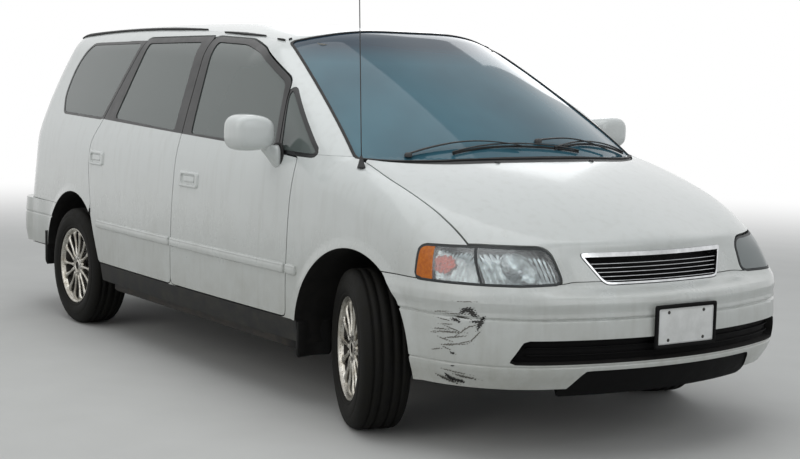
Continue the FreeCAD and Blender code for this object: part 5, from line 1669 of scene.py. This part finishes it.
for lever_side in (-1, 1):
    column.append(at_column(swept(np.linspace((10, lever_side * 26, -60), (34, lever_side * 170, -44), 8),
                                  round_section(6), up=(0, 0, 1), scale=np.linspace(0.8, 1.5, 8))))
add_piece("steering_column", *gather(column), CABIN_PLASTIC, "root", slot="dash_plastic")
ring = rectangle(60, 400, -96, 96, 40)
rows = [np.column_stack([ring[:, 0] * k + (1 - k) * 230, ring[:, 1] * k, np.full(len(ring), float(z))])
        for k, z in ((1, FLOOR_TOP + 3), (0.98, 390), (0.94, 422), (0.88, 430))]
add_piece("centre_console", *skinned(rows, caps=(False, True)), CABIN_PLASTIC, "root", slot="dash_plastic")

# Pressed floor pan: swages along it, and a step up behind the rear axle.
gx, gy = np.meshgrid(np.linspace(-2310, 1148, 96), np.linspace(-768, 768, 57), indexing="ij")
housing = np.where(gx > 960, 415, np.where((gx < -990) & (gx > -1840), 596, 768.0))
pan_y = np.clip(gy, -housing, housing)


def kick_up(x):
    """How far the floor steps up behind the rear axle."""
    return 122 * step(-x, 1700, 1880)


swage = 7 * step(np.cos(gy / 768 * np.pi * 7), 0.1, 0.5) * step(np.abs(np.abs(gx - 90) - 560), 20,
    60) * (np.abs(gx - 90) < 1080)
pan_rows = []
for level, turned_over in ((232.5, True), (256.5, False)):
    points, faces = draped(gx, pan_y, level + kick_up(gx) + swage * turned_over)
    pan_rows.append((points, backward(faces) if turned_over else faces))
rails = []
for hand in (RIGHT, LEFT):
    path = np.column_stack([np.linspace(-950, 920, 12), np.full(12, hand * 796.0), np.full(12, 305.0)])
    rails.append(swept(path, bar_section(46, 142, 12)))
for x in (800, -860):
    for y in (-700, 700):
        rails.append(slab(rectangle(x - 40, x + 40, y - 26, y + 26, 12),
                          lambda u, v, w: np.stack([u, -v, 232 + np.zeros_like(u) - w], 1), 16, 3))
wall_y, wall_z = np.meshgrid(np.linspace(-752, 752, 48), np.linspace(232, 1000, 26), indexing="ij")
wall_y = np.clip(wall_y, -np.where(wall_z < 690, 415, 752), np.where(wall_z < 690, 415, 752))
dimple = 6 * step(np.cos(wall_y / 752 * np.pi * 3) * np.cos((wall_z - 620) / 400 * np.pi), 0.1, 0.4)
for x, turned_over in ((1169.5, False), (1150.5, True)):
    points, faces = draped(x - dimple * (not turned_over), wall_y, wall_z)
    rails.append((points, backward(faces) if turned_over else faces))
add_piece("pressed_floor_pan", *gather(pan_rows + rails), STEEL_DIRTY, "root", ["floor_pan"], "underbody")

# Moulded carpet over the floor, up the bulkhead, round the wheel housings; mirror and sun visors.
gx, gy = np.meshgrid(np.linspace(-2290, 1144, 90), np.linspace(-748, 748, 51), indexing="ij")
room = np.where(gx > 1010, 430, np.where((gx < -990) & (gx > -1840), 596, 748.0))
gy_in = np.clip(gy, -room, room)
gz = FLOOR_TOP + 4 + kick_up(gx) + 90 * step(gx, 940, 1140) ** 2 * 4 + 46 * step(-np.abs(gy), -150, -70) * step(gx,
    -300, 300)
add_piece("moulded_floor_carpet", *draped(gx, gy_in, gz), CARPET, "root", slot="seat_cloth")
mirror_outline = rectangle(-118, 118, -30, 30, 24)
backing = slab(mirror_outline, lambda u, v, w: np.stack([600 + np.zeros_like(u) + w, u, 1470 + v], 1), 24, 8)
stalk = swept(np.array([(622, 0, 1478), (632, 0, 1500), (640, 0, 1530)], float), round_section(9), up=(0, 1, 0))
add_piece("cabin_mirror_case", *gather([backing, stalk]), CABIN_PLASTIC, "root", slot="dash_plastic")
front_glass = slab(mirror_outline * 0.94, lambda u, v, w: np.stack([600 + np.zeros_like(u) - w, -u, 1470 + v], 1),
                   1.5, 0.5)
add_piece("cabin_mirror_glass", *front_glass, MIRROR_GLASS, "root", slot="chrome")
visors = []
for y in (-310, 310):
    outline = rectangle(-180, 180, 0, 150, 34)
    visors.append(slab(outline, lambda u, v, w, y=y: np.stack([560 - v, u + y, 1520 + v * 0.16 - w], 1), 16, 6))
visor = add_piece("sun_visors", *gather(visors), HEADLINER, "root", slot="seat_cloth")

# Door trims: a moulded lining with its armrest, pocket and pull.
for name, x0, x1, arm0, arm1 in (("front", -70, 880, 60, 600), ("rear", -940, -190, -860, -330)):
    def lining(u, v, x0=x0, x1=x1, arm0=arm0, arm1=arm1):
        outer_edge = soft_box(u, x0 + 14, x1 - 14, 10) * soft_box(v, 424, 1020, 10)
        armrest = soft_box(u, arm0, arm1, 30) * (soft_box(v, 706, 742, 10) * 46 + soft_box(v, 640, 720, 30) * 18)
        pocket = soft_box(u, arm0 + 20, arm1 - 40, 12) * soft_box(v, 450, 590, 14) * 24
        pull = soft_box(u, arm1 - 150, arm1 - 60, 8) * soft_box(v, 848, 884, 6) * 8
        crease = 3 * np.maximum(1 - np.abs(v - 800) / 5, 0) + 3 * np.maximum(1 - np.abs(v - 620) / 5, 0)
        return -(45 + outer_edge * (3 + armrest + pocket - pull - crease * 0.6))

    part = worked((x0, x1, 414, 1030), on_flank, lining, 10)
    turned_over = (part[0], backward(part[1]))
    insert = worked((arm0, arm1, 770, 1000), on_flank,
                     lambda u, v, a=arm0, b=arm1: -(46.5 + 7 * np.sqrt(np.clip(soft_box(u, a + 12, b - 12,
                         12) * soft_box(v, 782, 988, 12), 0, 1))), 8)
    insert_over = (insert[0], backward(insert[1]))
    for hand, word in SIDES:
        add_piece("%s_door_trim_%s" % (name, word), *on_side(turned_over, hand), CABIN_PLASTIC,
                  "%s_door_%s" % (name, word), slot="dash_plastic")
        add_piece("%s_door_cloth_%s" % (name, word), *on_side(insert_over, hand), SEAT_CLOTH,
                  "%s_door_%s" % (name, word), slot="seat_cloth")

# Tail lamps in three tones, and the tailgate's fittings.
# Moulded red acrylic: a deep colour under a polished face.
TAIL_RED = mottled("red_acrylic_lens", "#8E1010", "#B01A16", 0.12, 16, 0.7, 0.5, 6, Transmission_Weight=0.2,
                   Coat_Weight=0.5)
# Clear acrylic moulded with ribs: pale and sparkling.
TAIL_CLEAR = mottled("clear_ribbed_acrylic", "#C8CBCB", "#E2E4E4", 0.15, 12, 0.8, 0.6, 6, Transmission_Weight=0.4)
lamp_back = back.near((-2600, -1100, 700), (-2050, -500, 1150))
lamp_back = lamp_back.keep(both_of(tail_lamp_gap, beyond(0, TAIL_LAMP_EDGE, -1))).keep(lambda p: tail_lamp_gap(p) + 1)
for hand, word in SIDES:
    for label, low_z, high_z, lens in (("stop", 893, 1100, TAIL_RED), ("turn", 842, 890, AMBER),
                                       ("reverse", 760, 839, TAIL_CLEAR)):
        panel("%s_lens_%s" % (label, word), side_of(lamp_back.keep(both_of(beyond(2, low_z), beyond(2, high_z, -1))),
                                                    hand), lens, "root", 18,
              ["tail_lamps"], "red_lens", lift=1)
    panel("tail_lamp_case_" + word, side_of(lamp_back, hand), TRIM_BLACK, "root", 40, ["tail_lamps"],
          "black_plastic", lift=-6)

glass_border = back.keep(lambda p: rear_glass_gap(p) + 1).keep(outside(rear_glass_gap, -30))
panel("rear_window_border", glass_border, FRAME_BLACK, "tailgate", 3, slot="black_plastic", lift=-9.5)
seal_ring = back.keep(lambda p: rear_glass_gap(p) - 5).keep(outside(rear_glass_gap, -6))
panel("rear_window_seal", seal_ring, RUBBER, "tailgate", 8, slot="rubber", lift=2)
y = np.linspace(-318, 318, 60)
garnish = swept(on_tail(y, 985, 6), [(-8, -20), (10, -18), (16, -6), (14, 12), (4, 20), (-8, 22)], up=(0, 0, 1))
add_piece("tailgate_garnish", *garnish, ENAMEL, "tailgate", slot="paint")
pull_y = np.linspace(-70, 70, 20)
add_piece("tailgate_pull", *swept(on_tail(pull_y, 962, 4), bar_section(24, 8, 3)), TRIM_BLACK, "tailgate",
          slot="black_plastic")
pivot = on_tail([0.0], [1098.0], 2)[0]
knob = facing_back([(20, 0), (19, 14), (14, 20), (5, 22), (0.2, 22.3)], 24, *pivot)
sweep_y = np.linspace(10, 330, 20)
arm_line = on_tail(sweep_y, np.linspace(1100, 1150, 20), 22)
blade_line = on_tail(np.linspace(120, 440, 20), np.linspace(1138, 1152, 20), 12)
rear_wiper = [knob, swept(arm_line, bar_section(12, 6, 1.5), scale=np.linspace(1.3, 0.7, 20)),
              swept(blade_line, bar_section(8, 8, 1.5))]
add_piece("rear_wiper", *gather(rear_wiper), TRIM_BLACK, "tailgate", slot="black_plastic")
stop_y = np.linspace(-110, 110, 24)
add_piece("high_stop_lamp", *swept(on_tail(stop_y, 1492, -26), bar_section(26, 26, 4)), TAIL_RED, "tailgate",
          slot="red_lens")

# Materials for the CAD nodes that stay.
STAYING = {
    "floor_pan": STEEL_DIRTY, "engine_block": CAST, "fuel_tank": STEEL_DIRTY, "exhaust": EXHAUST,
    "front_subframe": STEEL_DIRTY,
    "rear_axle": STEEL_DIRTY, "knuckle_right": CAST, "knuckle_left": CAST,
}
for name, material in STAYING.items():
    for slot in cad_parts[name].material_slots:
        slot.material = material


# Floor, light and camera.
def looking(tree):
    """1 for the rays that only look: from the camera, through glass and off gloss."""
    rays = add_node(tree, "ShaderNodeLightPath")
    seen = rays.outputs["Is Camera Ray"]
    for kind in ("Is Transmission Ray", "Is Glossy Ray"):
        seen = add_node(tree, "ShaderNodeMath", {"operation": "MAXIMUM"}, {0: seen, 1: rays.outputs[kind]}).outputs[0]
    return seen


def studio():
    world = bpy.data.worlds.new("studio")
    bpy.context.scene.world = world
    world.use_nodes = True
    tree = world.node_tree
    tree.nodes.clear()
    soft = add_node(tree, "ShaderNodeBackground", {"Color": (0.86, 0.89, 0.93, 1), "Strength": 0.42})
    white = add_node(tree, "ShaderNodeBackground", {"Color": (1, 1, 1, 1), "Strength": 1.0})
    mix = add_node(tree, "ShaderNodeMixShader", {}, {0: looking(tree), 1: soft.outputs[0], 2: white.outputs[0]})
    add_node(tree, "ShaderNodeOutputWorld", {}, {"Surface": mix.outputs[0]})
    for name, spot, size, power, color in (
        ("overhead", (0.5, -1.0, 6.5), 7.0, 170, (0.97, 0.99, 1.0)),
        ("side", (2.0, -9.0, 5.0), 6.0, 130, (1.0, 0.99, 0.96)),
        ("front", (9.0, 1.5, 4.5), 5.0, 90, (0.97, 0.99, 1.0)),
        ("back", (-7.0, 6.0, 5.0), 5.0, 110, (0.96, 0.98, 1.0)),
    ):
        lamp = bpy.data.lights.new(name, "AREA")
        lamp.size = size
        lamp.energy = power
        lamp.color = color
        lamp.specular_factor = 0.25
        obj = bpy.data.objects.new(name, lamp)
        obj.location = spot
        obj.rotation_euler = (Vector((0, 0, 0.7)) - Vector(spot)).to_track_quat("-Z", "Y").to_euler()
        bpy.context.collection.objects.link(obj)
    ground, tree, shader = finish("pale_concrete_floor", "#CDCDCA", 0.85)
    speck = add_node(tree, "ShaderNodeTexNoise", {"Scale": 3.0, "Detail": 6.0},
                     {"Vector": add_node(tree, "ShaderNodeTexCoord").outputs["Object"]})
    mix = add_node(tree, "ShaderNodeMix", {"data_type": "RGBA", 6: tone("#D1D1CE"), 7: tone("#C7C7C4")},
                   {0: speck.outputs["Fac"]})
    tree.links.new(mix.outputs[2], shader.inputs["Base Color"])
    # Far from the van the floor passes into the white behind it, for rays that only look.
    reach = add_node(tree, "ShaderNodeVectorMath", {"operation": "LENGTH"},
                     {0: add_node(tree, "ShaderNodeTexCoord").outputs["Object"]})
    far = add_node(tree, "ShaderNodeMapRange",
                   {"interpolation_type": "SMOOTHSTEP", "From Min": 4.5, "From Max": 12.0},
                   {"Value": reach.outputs["Value"]})
    fade = add_node(tree, "ShaderNodeMath", {"operation": "MULTIPLY"}, {0: far.outputs[0], 1: looking(tree)})
    white = add_node(tree, "ShaderNodeEmission", {"Color": (1, 1, 1, 1), "Strength": 1.0})
    blend = add_node(tree, "ShaderNodeMixShader", {}, {0: fade.outputs[0], 1: shader.outputs[0], 2: white.outputs[0]})
    tree.links.new(blend.outputs[0], tree.nodes["Material Output"].inputs["Surface"])
    mesh = bpy.data.meshes.new("studio_floor")
    reach = 60.0
    mesh.from_pydata([(-reach, -reach, 0), (reach, -reach, 0), (reach, reach, 0), (-reach, reach, 0)], [],
                     [(0, 1, 2, 3)])
    mesh.materials.append(ground)
    floor = bpy.data.objects.new("studio_floor", mesh)
    bpy.context.collection.objects.link(floor)


def camera():
    turn, lift, roll = math.radians(55.487), math.radians(5.846), math.radians(1.330)
    back = Vector((math.sin(turn) * math.cos(lift), -math.cos(turn) * math.cos(lift), math.sin(lift)))
    right = Vector((math.cos(turn), math.sin(turn), 0))
    up = back.cross(right)
    across = right * math.cos(roll) + up * math.sin(roll)
    upward = up * math.cos(roll) - right * math.sin(roll)
    data = bpy.data.cameras.new("photograph_view")
    data.sensor_width = 36
    data.lens = 64.985
    data.clip_end = 200
    obj = bpy.data.objects.new("photograph_view", data)
    place = Matrix((across, upward, back)).transposed().to_4x4()
    place.translation = Vector((6.0940, -3.8524, 1.3627))
    obj.matrix_world = place
    bpy.context.collection.objects.link(obj)
    bpy.context.scene.camera = obj


studio()
camera()
bpy.context.scene.view_settings.view_transform = "Standard"
